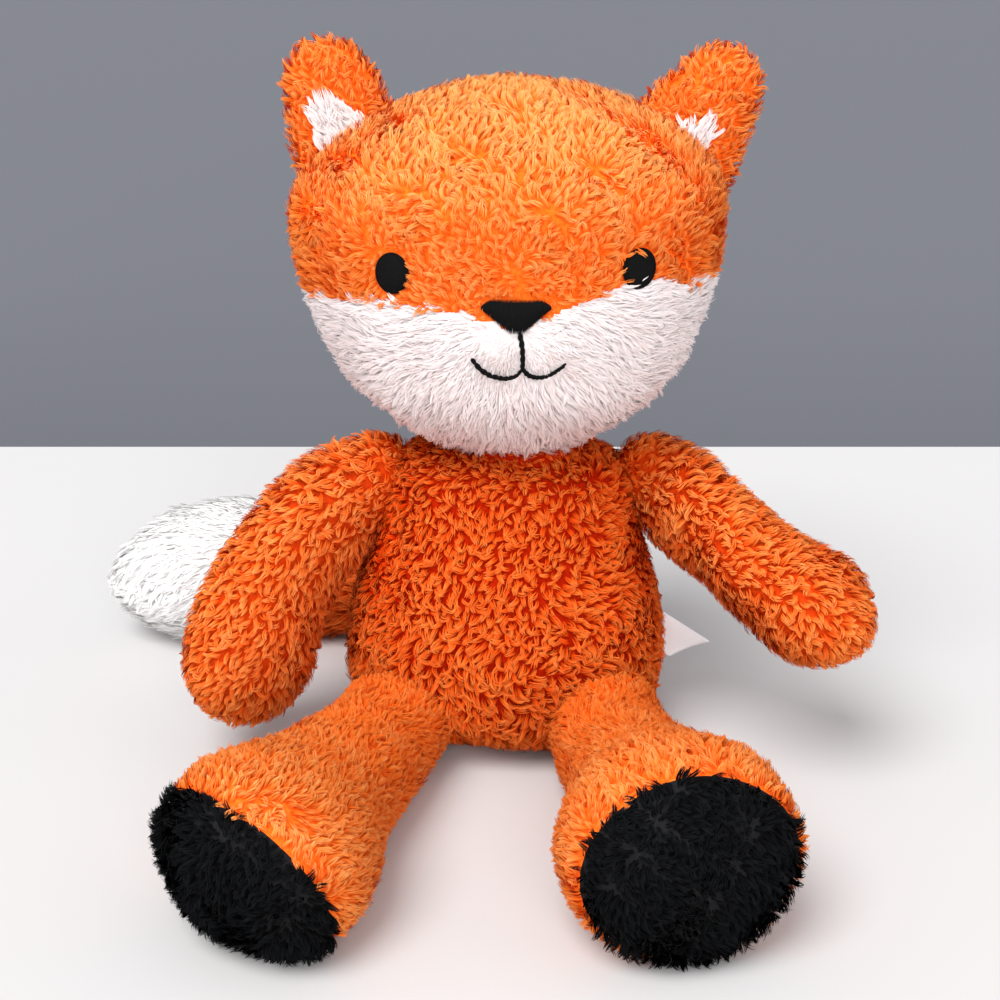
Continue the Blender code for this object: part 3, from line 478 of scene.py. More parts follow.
# Head: orange over the seam of the face, white under it, and orange behind
head = {
    "low": 0.09447, "height": 0.1035, "lean": 0.0045, "x": 0.0032, "y": -0.003, "width": 0.0594,
    "depth": 0.0457,
}
faceX, faceY, backSeamY = 0.0042, -0.047, 0.003
headForm = {
    "points": [
        (head["x"] + head["lean"] * (0.45 - s), head["y"], head["low"] + head["height"] * s)
        for s in (0, 0.16, 0.34, 0.54, 0.76, 1)
    ],
    "widths": [head["width"] * s for s in (0.56, 0.72, 0.885, 0.99, 1, 0.86)],
    "depths": [head["depth"] * s for s in (0.72, 0.87, 0.965, 1, 0.97, 0.8)],
    "caps": (0.027, 0.034), "count": (80, 160), "squareness": 2.2,
}
faceSeam = {
    "x": (-0.062, -0.052, -0.03, -0.012, -0.004, 0.0042, 0.012, 0.02, 0.027, 0.034, 0.042, 0.05, 0.062),
    "z": (
        0.1405, 0.142, 0.1455, 0.1442, 0.1418, 0.14, 0.1422, 0.1458, 0.1482, 0.1512, 0.1502, 0.1482, 0.1458
    ),
}
muzzlePads = ((-0.002, 0.1348, 0.0032), (0.0135, 0.135, 0.0018))
padSize = 0.0068


def muzzle(co, normals):
    out = np.zeros(len(co))
    for x, z, rise in muzzlePads:
        away = ((co[:, 0] - x) ** 2 + (co[:, 2] - z) ** 2) / padSize**2
        out += rise * np.exp(-away)
    return co + normals * (out * (co[:, 1] < head["y"]))[:, None]


def isCheek(p):
    return (p[:, 1] < backSeamY) & (p[:, 2] < np.interp(p[:, 0], faceSeam["x"], faceSeam["z"]))


headSkin = makeSkin(
    "head_skin", headForm, "head", ["skinBright", "skinWhite"],
    ("head_face_orange", "head_cheeks_white", "head_back_orange", "head_filling"), muzzle,
)
paintSecond(headSkin, isCheek)

# Neck: the ball between torso and head
neck = {"low": 0.072, "height": 0.042, "radius": 0.021}
neckForm = {
    "points": [(neckPoint[0], 0, neck["low"] + neck["height"] * s) for s in (0, 0.5, 1)],
    "widths": [neck["radius"]] * 3, "depths": [neck["radius"]] * 3, "caps": [neck["radius"]] * 2,
    "count": (24, 40),
}
neckSkin = makeSkin("neck_skin", neckForm, "neck", ["skinOrange"], ("neck_filling",))

# Torso pile: combed down in waves, and short in the creases beside the arms, where its tone is darkened as
# painted shade
torsoPile = {
    "spacing": 0.0015, "lean": (20, 122), "stray": 36, "swirl": 70, "radius": 0.00082, "strands": 11,
    "width": 0.00032, "profile": (0.9, 1.2, 0.5), "soft": 0.6, "neckRoom": 0.0145, "under": -0.93,
    "flowDrift": (0.012, 0.8), "sway": 0.8, "waves": 260, "toneDrift": (0.004, 0.14), "middleX": 0.0035,
    "creaseX": 0.0385, "creaseWidth": 0.006, "creaseBack": 0.004, "creaseByZ": ((0.045, 0.06), (0, 1)),
    "creaseShort": 0.4, "creaseShade": 0.7,
    "lengthByZ": ((0.01, 0.03, 0.06, 0.085), (0.0062, 0.0052, 0.0043, 0.0038)),
    "toneByZ": ((0.03, 0.05, 0.085), (0.58, 0.52, 0.38)),
}
p, n = scatter(torsoSkin, torsoPile["spacing"], seed=1)
away = np.linalg.norm(p - neckPoint, axis=1)
keep = (away > torsoPile["neckRoom"]) & (n[:, 2] > torsoPile["under"])
p, n = p[keep], n[keep]
z = p[:, 2]
flow = drift(p, *torsoPile["flowDrift"], seed=2) - up
flow[:, 0] += torsoPile["sway"] * np.sin(z * torsoPile["waves"])
fromCrease = np.abs(np.abs(p[:, 0] - torsoPile["middleX"]) - torsoPile["creaseX"])
crease = np.clip(1 - fromCrease / torsoPile["creaseWidth"], 0, 1)
crease *= (p[:, 1] < torsoPile["creaseBack"]) * np.interp(z, *torsoPile["creaseByZ"])
torsoPile["length"] = np.interp(z, *torsoPile["lengthByZ"]) * (1 - torsoPile["creaseShort"] * crease)
# painted shade: the tone is darkened in the creases beside the arms
torsoPile["tone"] = np.interp(z, *torsoPile["toneByZ"]) - torsoPile["creaseShade"] * crease
torsoPile["tone"] += drift(p, *torsoPile["toneDrift"], seed=3)[:, 0]
pile("torso_pile", "torso", "orange", p, n, flow, torsoPile, seed=20)

# Neck pile: only where the head and the torso leave the neck open
neckPile = {
    "spacing": 0.0014, "length": 0.0034, "lean": (10, 70), "stray": 30, "swirl": 40, "radius": 0.0006,
    "strands": 7, "width": 0.0003, "profile": (0.9, 1.2, 0.5), "soft": 0.4, "tone": 0.3, "lowZ": 0.089,
    "topZ": 0.11, "flowDrift": (0.01, 1), "down": 0.5,
}
p, n = scatter(neckSkin, neckPile["spacing"], seed=4)
keep = (p[:, 2] > neckPile["lowZ"]) & (p[:, 2] < neckPile["topZ"])
p, n = p[keep], n[keep]
flow = drift(p, *neckPile["flowDrift"], seed=5) - up * neckPile["down"]
pile("neck_pile", "neck", "orange", p, n, flow, neckPile, seed=30)

# Head pile: it leaves the stitches of the face bare
nose = {
    "z": (0.1384, 0.141, 0.1455, 0.148), "half": (0.0028, 0.0052, 0.0088, 0.008), "top": 0.1478,
    "low": 0.1386, "dome": 0.0017, "domeHalf": 0.0097, "rise": 0.0012, "thread": 0.00024, "pitch": 0.00034,
    "threadsTo": (-0.009, 0.0091), "topDrop": 0.002, "topFrom": 0.006, "topOver": 0.0032,
    "lowLift": 0.0066, "lowFrom": 0.002, "lowOver": 0.0072, "lowPower": 1.1,
}
eyes = {"left": (faceX + 0.0323, 0.1546), "right": (faceX - 0.0324, 0.1536)}
eye = {
    "halfWidth": 0.0041, "halfHeight": 0.0051, "rise": 0.0011, "dome": 0.0011, "thread": 0.00024,
    "pitch": 0.052, "rim": 0.0003, "slant": 0.35,
}
mouthLines = [
    [(0.0049, 0.1392), (0.0056, 0.1345), (0.0058, 0.1295)],
    [(0.0058, 0.1295), (0.0038, 0.1272), (0.0002, 0.1269), (-0.0038, 0.1288), (-0.007, 0.1326)],
    [(0.0058, 0.1295), (0.0079, 0.1273), (0.0112, 0.1268), (0.0145, 0.1284), (0.017, 0.1306)],
]
bare = {"left": 0.92, "right": 1.1, "mouth": 0.0009, "nearEye": 1.2, "nearNose": 0.0035, "back": -0.02}


def outsideNose(p):
    x, z = np.abs(p[:, 0] - faceX), p[:, 2]
    half = np.interp(z, nose["z"], nose["half"])
    return np.hypot(np.maximum(x - half, 0), np.maximum(np.maximum(z - nose["z"][-1], nose["z"][0] - z), 0))


def outsideEye(p, side, grow=1.0):
    x, z = eyes[side]
    return np.hypot((p[:, 0] - x) / eye["halfWidth"], (p[:, 2] - z) / eye["halfHeight"]) - grow


def clearOfStitches(p):
    free = outsideNose(p) > 0
    for side in sides:
        free &= outsideEye(p, side, bare[side]) > 0
    for line in mouthLines:
        for x, z in along(line, np.linspace(0, len(line) - 1, 24)):
            free &= (p[:, 0] - x) ** 2 + (p[:, 2] - z) ** 2 > bare["mouth"] ** 2
    return free | (p[:, 1] > bare["back"])


def nearStitches(p):
    nearEye = np.clip(1 - outsideEye(p, "right") * bare["nearEye"], 0, 1)
    nearNose = np.clip(1 - outsideNose(p) / bare["nearNose"], 0, 1)
    return np.maximum(nearEye, nearNose) * (p[:, 1] < bare["back"])


orangePile = {
    "spacing": 0.00118, "lean": (26, 90), "stray": 30, "swirl": 52, "radius": 0.00062, "strands": 9,
    "width": 0.00025, "profile": (0.9, 1.15, 0.7), "soft": 0.75, "long": 0.0043,
    "nose": np.array((faceX, faceY, 0.1445)), "crown": np.array((head["x"], 0.004, head["low"] + 0.108)),
    "toCrownByY": ((-0.045, -0.012), (0.3, 1)), "toneByZ": ((0.15, 0.165, 0.19), (0.28, 0.36, 0.95)),
    "flowDrift": (0.009, 0.5), "toneDrift": (0.0026, 0.26), "sideFrom": 0.03, "sideOver": 0.025,
    "sideShade": 0.12, "nearRise": 0.6, "nearShort": 0.5,
}
cheekPile = {
    "lean": (58, 90), "stray": 13, "swirl": 22, "radius": 0.0007, "strands": 11, "width": 0.00034,
    "profile": (1, 1.2, 0.9), "soft": 0.95, "wander": 0.6, "long": 0.0058,
    "nose": np.array((faceX, faceY, 0.139)), "mouthZ": 0.133, "mouthSize": (0.016, 0.009),
    "longByZ": ((0.1, 0.116), (1.3, 1)), "toneByZ": ((0.1, 0.122, 0.14), (0.06, 0.54, 0.66)),
    "flowDrift": (0.012, 0.3), "toneDrift": (0.006, 0.1), "down": 0.25, "mouthShort": 0.6,
}
p, n = scatter(headSkin, orangePile["spacing"], seed=6)
keep = (np.linalg.norm(p - neckPoint, axis=1) > neck["radius"]) & clearOfStitches(p)
p, n = p[keep], n[keep]
white = isCheek(p)
q, m = p[~white], n[~white]
toCrown = np.interp(q[:, 1], *orangePile["toCrownByY"])[:, None]
flow = unit(orangePile["crown"] - q) * toCrown + unit(q - orangePile["nose"]) * (1 - toCrown)
flow = flow + drift(q, *orangePile["flowDrift"], seed=7)
# darker towards the sides of the head: painted shade
fromMiddle = np.abs(q[:, 0] - head["x"])
atSide = np.clip((fromMiddle - orangePile["sideFrom"]) / orangePile["sideOver"], 0, 1)
orangePile["rise"] = orangePile["nearRise"] * nearStitches(q)
orangePile["length"] = orangePile["long"] * (1 - orangePile["nearShort"] * nearStitches(q))
# lighter up towards the crown: painted light where the lamps fall on the top of the head
orangePile["tone"] = np.interp(q[:, 2], *orangePile["toneByZ"])
orangePile["tone"] += drift(q, *orangePile["toneDrift"], seed=8)[:, 0]
orangePile["tone"] -= orangePile["sideShade"] * atSide
pile("head_orange_pile", "head", "bright", q, m, flow, orangePile, seed=40)
q, m = p[white], n[white]
flow = unit(q - cheekPile["nose"]) + drift(q, *cheekPile["flowDrift"], seed=9) - up * cheekPile["down"]
wide, high = cheekPile["mouthSize"]
nearMouth = np.exp(-(((q[:, 0] - faceX) / wide) ** 2 + ((q[:, 2] - cheekPile["mouthZ"]) / high) ** 2))
nearMouth *= q[:, 1] < 0
cheekPile["length"] = cheekPile["long"] * (1 - cheekPile["mouthShort"] * nearMouth)
cheekPile["length"] *= np.interp(q[:, 2], *cheekPile["longByZ"])
# darker and pinker down on the chin: painted shade with a painted reflection of the orange body under it
cheekPile["tone"] = np.interp(q[:, 2], *cheekPile["toneByZ"])
cheekPile["tone"] += drift(q, *cheekPile["toneDrift"], seed=10)[:, 0]
pile("cheek_pile", "head", "white", q, m, flow, cheekPile, seed=50)

# Embroidery: satin stitch that lies on the face, each thread a tube of its own
face = BVHTree.FromPolygons([tuple(v) for v in headSkin["co"]], [tuple(t) for t in headSkin["tris"]])
threadSides = 6


def onFace(x, z, rise):
    hit, normal, _, _ = face.ray_cast(Vector((x, -0.2, z)), Vector((0, 1, 0)))
    return np.array(hit + normal * rise), np.array(normal)


def tubes(paths, radius, closed=False):
    at, out = (np.array([[onFace(*place)[i] for place in path] for path in paths]) for i in range(2))
    way = unit(np.gradient(at, axis=1))
    side = unit(np.cross(way, out))
    out = np.cross(side, way)
    count, long = at.shape[:2]
    turn = 2 * math.pi * np.arange(threadSides) / threadSides
    blunt = np.sqrt(np.clip(1 - np.linspace(-1, 1, long) ** 8, 0.05, 1))
    thick = np.full(long, radius) if closed else radius * blunt
    ring = side[:, :, None] * np.cos(turn)[:, None] + out[:, :, None] * np.sin(turn)[:, None]
    co = (at[:, :, None] + ring * thick[None, :, None, None]).reshape(-1, 3)
    k = np.arange(threadSides)
    n = (k + 1) % threadSides
    rows = (np.arange(count)[:, None] * long + np.arange(long - 1)).reshape(-1, 1) * threadSides
    quads = np.stack([rows + k, rows + n, rows + n + threadSides, rows + k + threadSides], axis=-1)
    return co, quads.reshape(-1, 4)


def embroider(name, batches, replaces):
    co, quads, base = [], [], 0
    for batch in batches:
        points, faces = tubes(*batch)
        co.append(points)
        quads.append(faces + base)
        base += len(points)
    mesh = meshOf(name, np.concatenate(co), np.concatenate(quads))
    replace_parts(show(name, mesh, "head", paints["thread"]), replaces)
    print("sewn", name)


for side, (x0, z0) in eyes.items():
    c, s = math.cos(eye["slant"]), math.sin(eye["slant"])
    fills = []
    for b in np.arange(-0.97, 0.98, eye["pitch"]):
        path = []
        for t in np.linspace(-1, 1, 9):
            a = math.sqrt(1 - b * b) * t
            x, z = a * c - b * s, a * s + b * c
            lift = eye["rise"] + eye["dome"] * math.sqrt(max(1 - x * x - z * z, 0))
            path.append((x0 + x * eye["halfWidth"], z0 + z * eye["halfHeight"], lift))
        fills.append(path)
    rims = []
    for grow in (0.96, 1.04):
        wide, high = eye["halfWidth"] * grow, eye["halfHeight"] * grow
        rims.append([
            (x0 + wide * math.cos(t), z0 + high * math.sin(t), eye["rise"])
            for t in np.linspace(0, 2 * math.pi, 49)
        ])
    embroider(f"eye_{side}_thread", [(fills, eye["thread"]), (rims, eye["rim"], True)], f"eye_{side}")

# the nose, a rounded trapezoid filled from top to bottom
fills = []
for x in np.arange(*nose["threadsTo"], nose["pitch"]):
    w = abs(x)
    topShare = np.clip((w - nose["topFrom"]) / nose["topOver"], 0, 1)
    lowShare = np.clip((w - nose["lowFrom"]) / nose["lowOver"], 0, 1)
    top = nose["top"] - nose["topDrop"] * topShare**2
    low = nose["low"] + nose["lowLift"] * lowShare ** nose["lowPower"]
    path = []
    for t in np.linspace(0, 1, 9):
        dome = math.sqrt(max(1 - (w / nose["domeHalf"]) ** 2, 0)) * math.sin(math.pi * (0.1 + 0.8 * t))
        path.append((faceX + x, top + (low - top) * t, nose["rise"] + nose["dome"] * dome))
    fills.append(path)
embroider("nose_thread", [(fills, nose["thread"])], "nose")

# the mouth, two twisted threads along each of its lines
mouth = {"rise": 0.0017, "twist": 0.00025, "turns": 9, "thread": 0.00048}
threads = []
for line in mouthLines:
    for start in (0, math.pi):
        path = []
        for t in np.linspace(0, len(line) - 1, 30):
            x, z = along(line, np.array([t]))[0]
            turn = t * mouth["turns"] + start
            sway, lift = mouth["twist"] * math.cos(turn), mouth["twist"] * math.sin(turn)
            path.append((x + sway, z + sway, mouth["rise"] + lift))
        threads.append(path)
embroider("mouth_thread", [(threads, mouth["thread"])], "mouth")

# Care label: a bare tape folded double, one end held in the left side seam
label = {
    "corner": (0.066, 0.0, 0.0262), "across": (-0.0115, 0.006, -0.0082), "back": (-0.017, 0.0, 0.0116),
    "sag": 0.0012, "gap": 0.00032, "fold": 0.03, "rows": 41, "columns": 17,
}
corner, across, back = (np.array(label[k]) for k in ("corner", "across", "back"))
labelOut = unit(np.cross(back, across))
points = []
for t in np.linspace(-1, 1, label["rows"]):
    for w in np.linspace(0, 1, label["columns"]):
        sag = -label["sag"] * math.sin(w * 2.6) * (1 - abs(t)) ** 2
        layer = label["gap"] * np.clip(t / label["fold"], -1, 1)
        points.append(corner + across * w + back * abs(t) + labelOut * (layer + sag))
wide = label["columns"]
i = (np.arange(label["rows"] - 1)[:, None] * wide + np.arange(wide - 1)).reshape(-1)
quads = np.stack([i, i + 1, i + wide + 1, i + wide], axis=1)
mesh = meshOf("care_label_tape", np.array(points), quads)
tape = show("care_label_tape", mesh, "torso", paints["label"])
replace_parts(tape, "care_label")

# Ears: each stands out along the head's slope at its root and turns up towards its tip
ear = {
    "slope": math.radians(49), "x": {"left": 0.0472, "right": -0.0453}, "z": 0.17797, "depth": 0.0062,
    "long": 0.031,
}
ears = {
    "left": {"lean": 33, "patchDrop": 0.0045, "patchWide": 0.72},
    "right": {"lean": 17, "patchDrop": 0, "patchWide": 1},
}
patch = {
    "place": 0.24, "z": (-0.013, -0.0115, -0.0036, 0, 0.0045, 0.0075, 0.0085),
    "half": (0, 0.0062, 0.0074, 0.0072, 0.0054, 0.0028, 0),
}
earPile = {
    "spacing": 0.00122, "length": 0.0042, "lean": (20, 104), "stray": 34, "swirl": 60, "radius": 0.00058,
    "strands": 7, "width": 0.0003, "profile": (0.9, 1.2, 0.6), "soft": 0.6, "tone": 0.28,
    "flowDrift": (0.008, 0.5),
}
innerPile = {
    "length": 0.0065, "lean": (26, 76), "stray": 20, "swirl": 25, "radius": 0.0006, "strands": 8,
    "width": 0.00034, "profile": (1, 1.2, 0.9), "soft": 0.85, "tone": 0.6, "flowDrift": (0.01, 0.3),
}
for side, sign in sides.items():
    own = ears[side]
    slope, lean = ear["slope"], math.radians(own["lean"])
    outward = np.array((sign * math.sin(slope), 0, math.cos(slope)))
    middle = np.array((head["x"] + ear["x"][side], backSeamY, ear["z"]))
    root = middle + outward * ear["depth"] * 0.3
    leanWay = np.array((sign * math.sin(lean), 0, math.cos(lean)))
    tilts = [slope + (lean - slope) * s for s in (0, 0, 0.2, 0.5, 0.8, 1)]
    earForm = {
        "points": [middle - outward * ear["depth"]]
        + [root + leanWay * ear["long"] * s for s in (0, 0.25, 0.5, 0.75, 1)],
        "widths": (0.0165, 0.0165, 0.01518, 0.0129, 0.0102, 0.0075),
        "depths": (0.0062, 0.0062, 0.00657, 0.0067, 0.0062, 0.00465),
        "caps": (ear["depth"], 0.0075),
        "axes": [(sign * math.cos(t), 0, -math.sin(t)) for t in tilts],
        "ways": [(sign * math.sin(t), 0, math.cos(t)) for t in tilts],
        "count": (40, 60),
    }
    turn = sign * (lean + slope) / 2
    patchMiddle = root + leanWay * ear["long"] * patch["place"] - leanWay * own["patchDrop"]

    def isInner(p):
        d = p - patchMiddle
        x = d[:, 0] * math.cos(turn) - d[:, 2] * math.sin(turn)
        z = d[:, 0] * math.sin(turn) + d[:, 2] * math.cos(turn)
        return (p[:, 1] < 0) & (np.abs(x) < own["patchWide"] * np.interp(z, patch["z"], patch["half"]))

    skin = makeSkin(
        f"ear_{side}_skin", earForm, f"ear_{side}", ["skinBright", "skinWhite"],
        (f"ear_{side}_cover", f"ear_{side}_inner"),
    )
    paintSecond(skin, isInner)
    p, n = scatter(skin, earPile["spacing"], seed=60 + own["lean"])
    inner = isInner(p)
    q, m = p[~inner], n[~inner]
    flow = leanWay + drift(q, *earPile["flowDrift"], seed=61)
    pile(f"ear_{side}_pile", f"ear_{side}", "bright", q, m, flow, earPile, seed=62)
    q, m = p[inner], n[inner]
    flow = leanWay + drift(q, *innerPile["flowDrift"], seed=63)
    pile(f"ear_{side}_inner_pile", f"ear_{side}", "white", q, m, flow, innerPile, seed=64)

# Arms: each leaves the shoulder outward and forward, and bends down
arm = {"z": 0.081, "depth": 0.0125, "long": 0.085}
arms = {
    "left": {"x": 0.04609, "drop": 28, "bend": -8, "forward": 40, "twist": 72, "reach": 0.955},
    "right": {"x": -0.03766, "drop": 21, "bend": 68, "forward": 30, "twist": 10, "reach": 1.035},
}
armPile = {
    "spacing": 0.0015, "lean": (20, 110), "stray": 28, "swirl": 55, "radius": 0.00082, "strands": 11,
    "width": 0.00032, "profile": (0.9, 1.2, 0.5), "soft": 0.76, "from": -0.012, "long": 0.0046,
    "longOnTop": 0.0024, "topByRun": ((-0.012, -0.004, 0.02, 0.04), (0, 1, 1, 0)),
    "creaseByRun": ((-0.004, 0.009), (1, 0)), "creaseTop": 0.09, "creaseShade": 0.6, "middleTone": 0.5,
    "longByRun": ((0, 0.01, 0.06, 0.085), (0.7, 1, 1, 0.75)), "downBy": 0.088, "down": 0.25,
    "flowDrift": (0.012, 0.5), "toneDrift": (0.004, 0.14),
}


def turned(v, axis, angle):
    v, axis = np.array(v, float), np.array(axis, float)
    c, s = math.cos(angle), math.sin(angle)
    return v * c + np.cross(axis, v) * s + axis * (axis @ v) * (1 - c)


for side, sign in sides.items():
    own = arms[side]
    drop, bend, forward = (math.radians(own[k]) for k in ("drop", "bend", "forward"))
    twist = math.radians(own["twist"]) * sign
    level = np.array((sign * math.cos(forward), -math.sin(forward), 0))
    outward = level * math.cos(drop) - up * math.sin(drop)
    axis = unit(np.cross(outward, up))
    down = np.cross(outward, axis)
    middle = np.array((own["x"], 0, arm["z"]))

    def onArm(s):
        return middle + (outward * math.sin(bend * s) + down * (1 - math.cos(bend * s))) * arm["long"] / bend

    def turnedAxis(s):
        return turned(axis, outward * math.cos(bend * s) + down * math.sin(bend * s), twist * s)

    armForm = {
        "points": [middle - outward * arm["depth"], middle]
        + [onArm(s) for s in (0.2, 0.46, 0.74, own["reach"])],
        "widths": (0.0105, 0.0105, 0.0115, 0.01243, 0.0148, 0.01332),
        "depths": (0.0125, 0.0125, 0.0164, 0.01803, 0.0196, 0.01764),
        "caps": (arm["depth"], 0.0196),
        "axes": [turnedAxis(s) for s in (0, 0, 0.4, 0.8, 1, 1)],
        "count": (60, 80),
    }
    skin = makeSkin(
        f"arm_{side}_skin", armForm, f"arm_{side}", ["skinArm"],
        (f"arm_{side}_cover", f"arm_{side}_filling"),
    )
    p, n = scatter(skin, armPile["spacing"], seed=70 + own["drop"])
    run = (p - middle) @ outward
    keep = run > armPile["from"]
    p, n, run = p[keep], n[keep], run[keep]
    flow = np.array((sign, 0, -armPile["down"])) + drift(p, *armPile["flowDrift"], seed=71)
    flow[:, 2] -= np.clip(run / armPile["downBy"], 0, 1) ** 2
    # longer on top of the shoulder, and darkened in the crease beside the torso as painted shade
    onTop = np.clip(n[:, 2], 0, 1) * np.interp(run, *armPile["topByRun"])
    crease = np.interp(run, *armPile["creaseByRun"]) * np.clip(-n[:, 1] * 2, 0, 1)
    crease *= p[:, 2] < armPile["creaseTop"]
    armPile["length"] = armPile["long"] + armPile["longOnTop"] * onTop
    armPile["length"] *= np.interp(run, *armPile["longByRun"])
    # painted shade: the tone is darkened in the crease beside the torso
    armPile["tone"] = armPile["middleTone"] - armPile["creaseShade"] * crease
    armPile["tone"] += drift(p, *armPile["toneDrift"], seed=72)[:, 0]
    pile(f"arm_{side}_pile", f"arm_{side}", "arm", p, n, flow, armPile, seed=73)

# Legs: each lies forward on the floor and ends in a foot with its black sole to the front
leg = {
    "x": 0.03, "y": -0.02844, "z": 0.0155, "long": 0.115, "rootDepth": 0.0135, "rootWidth": 0.0162,
    "radius": 0.0158, "low": 0.0153, "footWidth": 0.0282, "footHeight": 0.0261, "sink": 0.0005,
}
legs = {
    "left": {"splay": 9, "footTurn": 2, "footTip": 2, "full": 1.03, "soleDepth": 0.0115},
    "right": {"splay": 17, "footTurn": 24, "footTip": 25, "full": 0.96, "soleDepth": 0.016},
}
legPile = {
    "spacing": 0.00114, "lean": (34, 88), "stray": 30, "swirl": 45, "radius": 0.00058, "strands": 7,
    "width": 0.0003, "profile": (0.9, 1.2, 0.65), "soft": 0.85, "from": -0.011, "under": -0.9, "long": 0.0038,
    "flowByRun": ((0.1, 0.116), (-1, 0.4)), "toneByRun": ((0.01, 0.05, 0.08, 0.1), (0.06, 0.14, 0.3, 0.42)),
    "shortAtRoot": 0.7, "shortOver": 0.03, "flowDrift": (0.012, 0.6), "toneDrift": (0.006, 0.12),
}
solePile = {
    "length": 0.0044, "lean": (20, 84), "stray": 32, "swirl": 42, "radius": 0.0006, "strands": 7,
    "width": 0.0003, "profile": (0.9, 1.2, 0.7), "soft": 0.5, "tone": 0.5, "bulge": 0.0085,
    "flowDrift": (0.01, 1.4),
}
for side, sign in sides.items():
    own = legs[side]
    splay, tip = math.radians(own["splay"]), math.radians(own["footTip"])
    turn = splay + math.radians(own["footTurn"])
    outward = np.array((sign * math.sin(splay), -math.cos(splay), 0))
    axis = unit(np.cross(outward, up))
    middle = np.array((sign * leg["x"], leg["y"], leg["z"]))
    level = math.cos(tip)
    footWay = np.array((sign * math.sin(turn) * level, -math.cos(turn) * level, -math.sin(tip)))
    wide, high, radius = leg["footWidth"] * own["full"], leg["footHeight"] * own["full"], leg["radius"]

    def onLeg(share, z):
        x, y, _ = middle + outward * leg["long"] * share
        return np.array((x, y, z))

    footZ = high - leg["sink"]
    foot = onLeg(0.78, footZ)
    toe = foot + footWay * leg["long"] * 0.22
    legForm = {
        "points": [
            middle - outward * leg["rootDepth"], middle, onLeg(0.2, leg["low"]),
            onLeg(0.48, (leg["low"] + high - leg["sink"]) / 2), foot, toe,
        ],
        "widths": (leg["rootWidth"], leg["rootWidth"], radius, radius * 1.16, wide, wide * 0.86),
        "depths": (leg["rootDepth"], leg["rootDepth"], radius, radius * 1.16, high, high * 0.86),
        "caps": (leg["rootDepth"], 0.0136),
        "axes": [axis, axis],
        "ways": [outward + (footWay - outward) * s for s in (0, 0, 0.15, 0.5, 1, 1)],
        "count": (72, 90),
    }
    seam = toe - footWay * own["soleDepth"]

    def isSole(p):
        return (p - seam) @ footWay > 0

    skin = makeSkin(
        f"leg_{side}_skin", legForm, f"leg_{side}", ["skinBright", "skinBlack"],
        (f"leg_{side}_cover", f"leg_{side}_filling", f"foot_{side}_sole"),
    )
    paintSecond(skin, isSole)
    p, n = scatter(skin, legPile["spacing"], seed=80 + own["splay"])
    run = (p - middle) @ outward
    keep = (run > legPile["from"]) & (n[:, 2] > legPile["under"])
    p, n, run = p[keep], n[keep], run[keep]
    black = isSole(p)
    q, m, r = p[~black], n[~black], run[~black]
    flow = outward * np.interp(r, *legPile["flowByRun"])[:, None] + drift(q, *legPile["flowDrift"], seed=81)
    short = legPile["shortAtRoot"]
    legPile["length"] = legPile["long"] * np.clip(short + r / legPile["shortOver"], short, 1)
    legPile["tone"] = np.interp(r, *legPile["toneByRun"]) + drift(q, *legPile["toneDrift"], seed=82)[:, 0]
    pile(f"leg_{side}_pile", f"leg_{side}", "bright", q, m, flow, legPile, seed=83)
    q, m = p[black], n[black]
    flow = unit(seam + footWay * solePile["bulge"] - q) + drift(q, *solePile["flowDrift"], seed=84)
    pile(f"foot_{side}_pile", f"leg_{side}", "black", q, m, flow, solePile, seed=85)

# Tail: it lies on the floor behind the fox's right side, and its tip part is white
tail = {
    "middle": (-0.006, 0.04525, 0.0235), "turn": math.radians(24), "long": 0.145, "radius": 0.0228,
    "rootWidth": 0.012, "rootDepth": 0.0095, "tipCap": 0.02622, "seam": 0.56, "samples": 200,
    "route": ((0.14, 0.11, 0.0229), (0.4, 0.17, 0.0223), (0.64, 0.155, 0.0223), (0.865, 0.1, 0.0223)),
}
tailPile = {
    "spacing": 0.0013, "lean": (68, 92), "stray": 16, "swirl": 24, "radius": 0.0008, "strands": 10,
    "width": 0.00048, "profile": (1, 1.2, 0.8), "soft": 0.9, "under": -0.9, "long": 0.0078,
    "shortAtRoot": 0.35, "shortOver": 0.03, "flowDrift": (0.014, 0.4),
}
tailMiddle = np.array(tail["middle"])
tailOut = np.array((-math.sin(tail["turn"]), math.cos(tail["turn"]), 0))
tailPoints = [tailMiddle - tailOut * tail["rootDepth"], tailMiddle]
for right, back, z in tail["route"]:
    x, y, _ = tailMiddle + np.array((-right, back, 0)) * tail["long"]
    tailPoints.append(np.array((x, y, z)))
tailForm = {
    "points": tailPoints,
    "widths": [tail["rootWidth"]] * 2 + [tail["radius"] * s for s in (0.62, 0.96, 1, 0.78)],
    "depths": [tail["rootDepth"]] * 2 + [tail["radius"] * s for s in (0.6, 0.96, 1, 0.78)],
    "caps": (tail["rootDepth"], tail["tipCap"]),
    "axes": [up, up],
    "count": (80, 90),
}
tailSkin = makeSkin(
    "tail_skin", tailForm, "tail", ["skinOrange", "skinWhite"],
    ("tail_base", "tail_tip", "tail_filling"),
)
last = tail["samples"] - 1
dense = along(tailPoints, np.linspace(0, len(tailPoints) - 1, tail["samples"]))
run = runOf(dense)
i = int(np.searchsorted(run, run[-1] * tail["seam"]))
tailSeam, seamWay = dense[i], unit(dense[i + 1] - dense[i - 1])


def isTip(p):
    return ((p - tailSeam) @ seamWay > 0) & (p[:, 0] < tailMiddle[0] - 0.03)


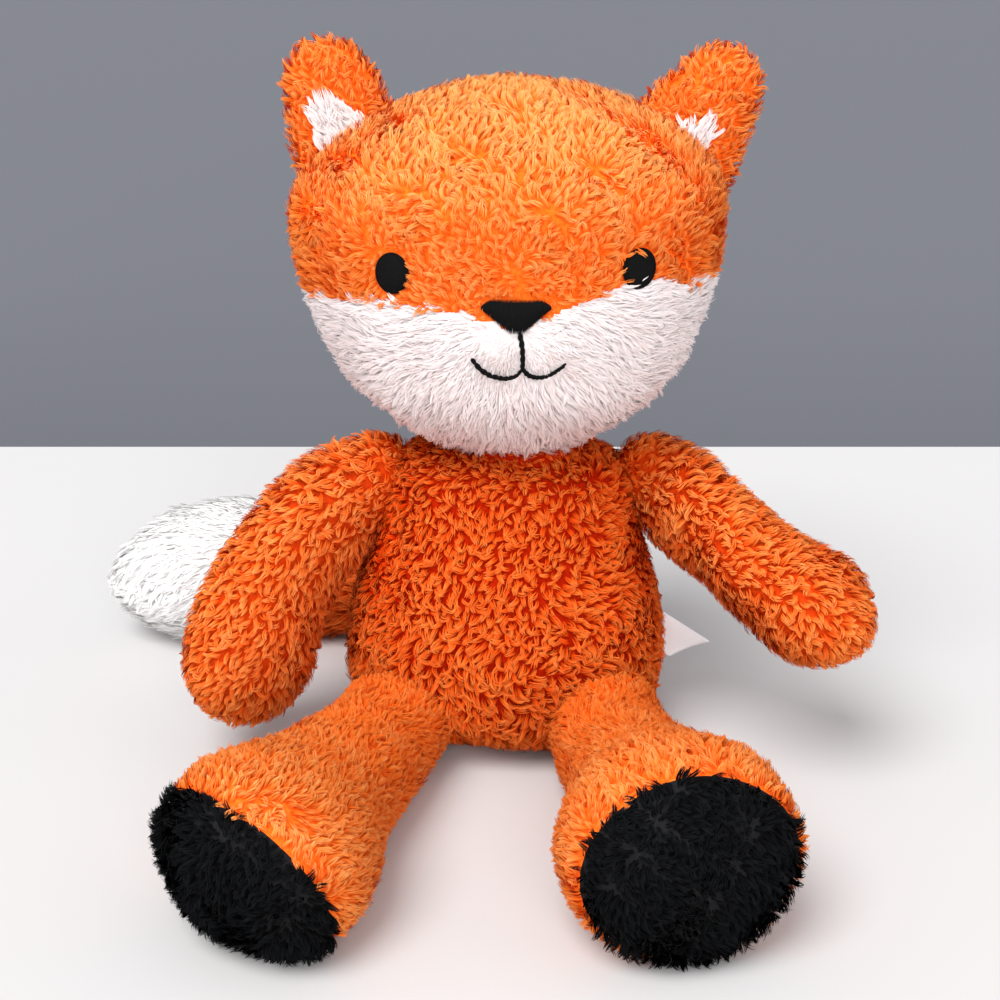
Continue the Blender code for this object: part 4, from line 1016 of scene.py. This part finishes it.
paintSecond(tailSkin, isTip)
p, n = scatter(tailSkin, tailPile["spacing"], seed=90)
keep = n[:, 2] > tailPile["under"]
p, n = p[keep], n[keep]
near = np.argmin(np.linalg.norm(p[:, None] - dense[None, ::4], axis=2), axis=1) * 4
flow = unit(dense[np.minimum(near + 3, last)] - dense[np.maximum(near - 3, 0)])
flow = flow + drift(p, *tailPile["flowDrift"], seed=91)
white = isTip(p)
for name, slot, paint, part, tone in (
    ("tail_base_pile", "orange", "orange", ~white, 0.5), ("tail_tip_pile", "white", "tail", white, 0.7)
):
    fromRoot = np.linalg.norm(p[part] - tailMiddle, axis=1)
    grown = np.clip(fromRoot / tailPile["shortOver"], tailPile["shortAtRoot"], 1)
    tailPile["length"] = tailPile["long"] * grown
    tailPile["tone"] = tone
    pile(name, "tail", paint, p[part], n[part], flow[part], tailPile, seed=92)

# Stage: a pale floor with its back edge in the picture, and a grey wall well behind it
stage = {
    "floor": {
        "colour": (0.615, 0.604, 0.598), "corners": [(-3, -2, 0), (3, -2, 0), (3, 0.276, 0), (-3, 0.276, 0)]
    },
    "wall": {
        "colour": (0.124, 0.128, 0.148), "corners": [(-4, 0.9, -2), (4, 0.9, -2), (4, 0.9, 3), (-4, 0.9, 3)]
    },
}
for name, own in stage.items():
    thing = bpy.data.objects.new(name, bpy.data.meshes.new(name))
    thing.data.from_pydata(own["corners"], [], [(0, 1, 2, 3)])
    bpy.context.scene.collection.objects.link(thing)
    paint, _, _, shader = newPaint(name)
    shader.inputs["Base Color"].default_value = (*own["colour"], 1)
    thing.data.materials.append(paint)

# Light and camera
lamps = {
    "key": {"energy": 2.8, "way": (0.3, 0.5, -0.82)},
    "fill": {"energy": 1.6, "way": (-0.12, 0.9, -0.35)},
}
lampAngle = math.radians(35)
for name, own in lamps.items():
    sun = bpy.data.objects.new(name, bpy.data.lights.new(name, "SUN"))
    sun.data.energy = own["energy"]
    sun.data.angle = lampAngle
    sun.rotation_euler = Vector(own["way"]).to_track_quat("-Z", "Y").to_euler()
    bpy.context.scene.collection.objects.link(sun)
world = bpy.data.worlds.new("studio")
world.use_nodes = True
background = world.node_tree.nodes["Background"]
background.inputs[0].default_value = (0.97, 0.98, 1, 1)
background.inputs[1].default_value = 0.8
bpy.context.scene.world = world
camera = bpy.data.objects.new("camera", bpy.data.cameras.new("camera"))
camera.data.lens = 61.2
camera.data.sensor_width = 36
camera.location = (0, -0.487, 0.251)
camera.rotation_euler = (math.radians(70), 0, 0)
bpy.context.scene.collection.objects.link(camera)
bpy.context.scene.camera = camera
bpy.context.scene.view_settings.view_transform = "Standard"
print("stage set")
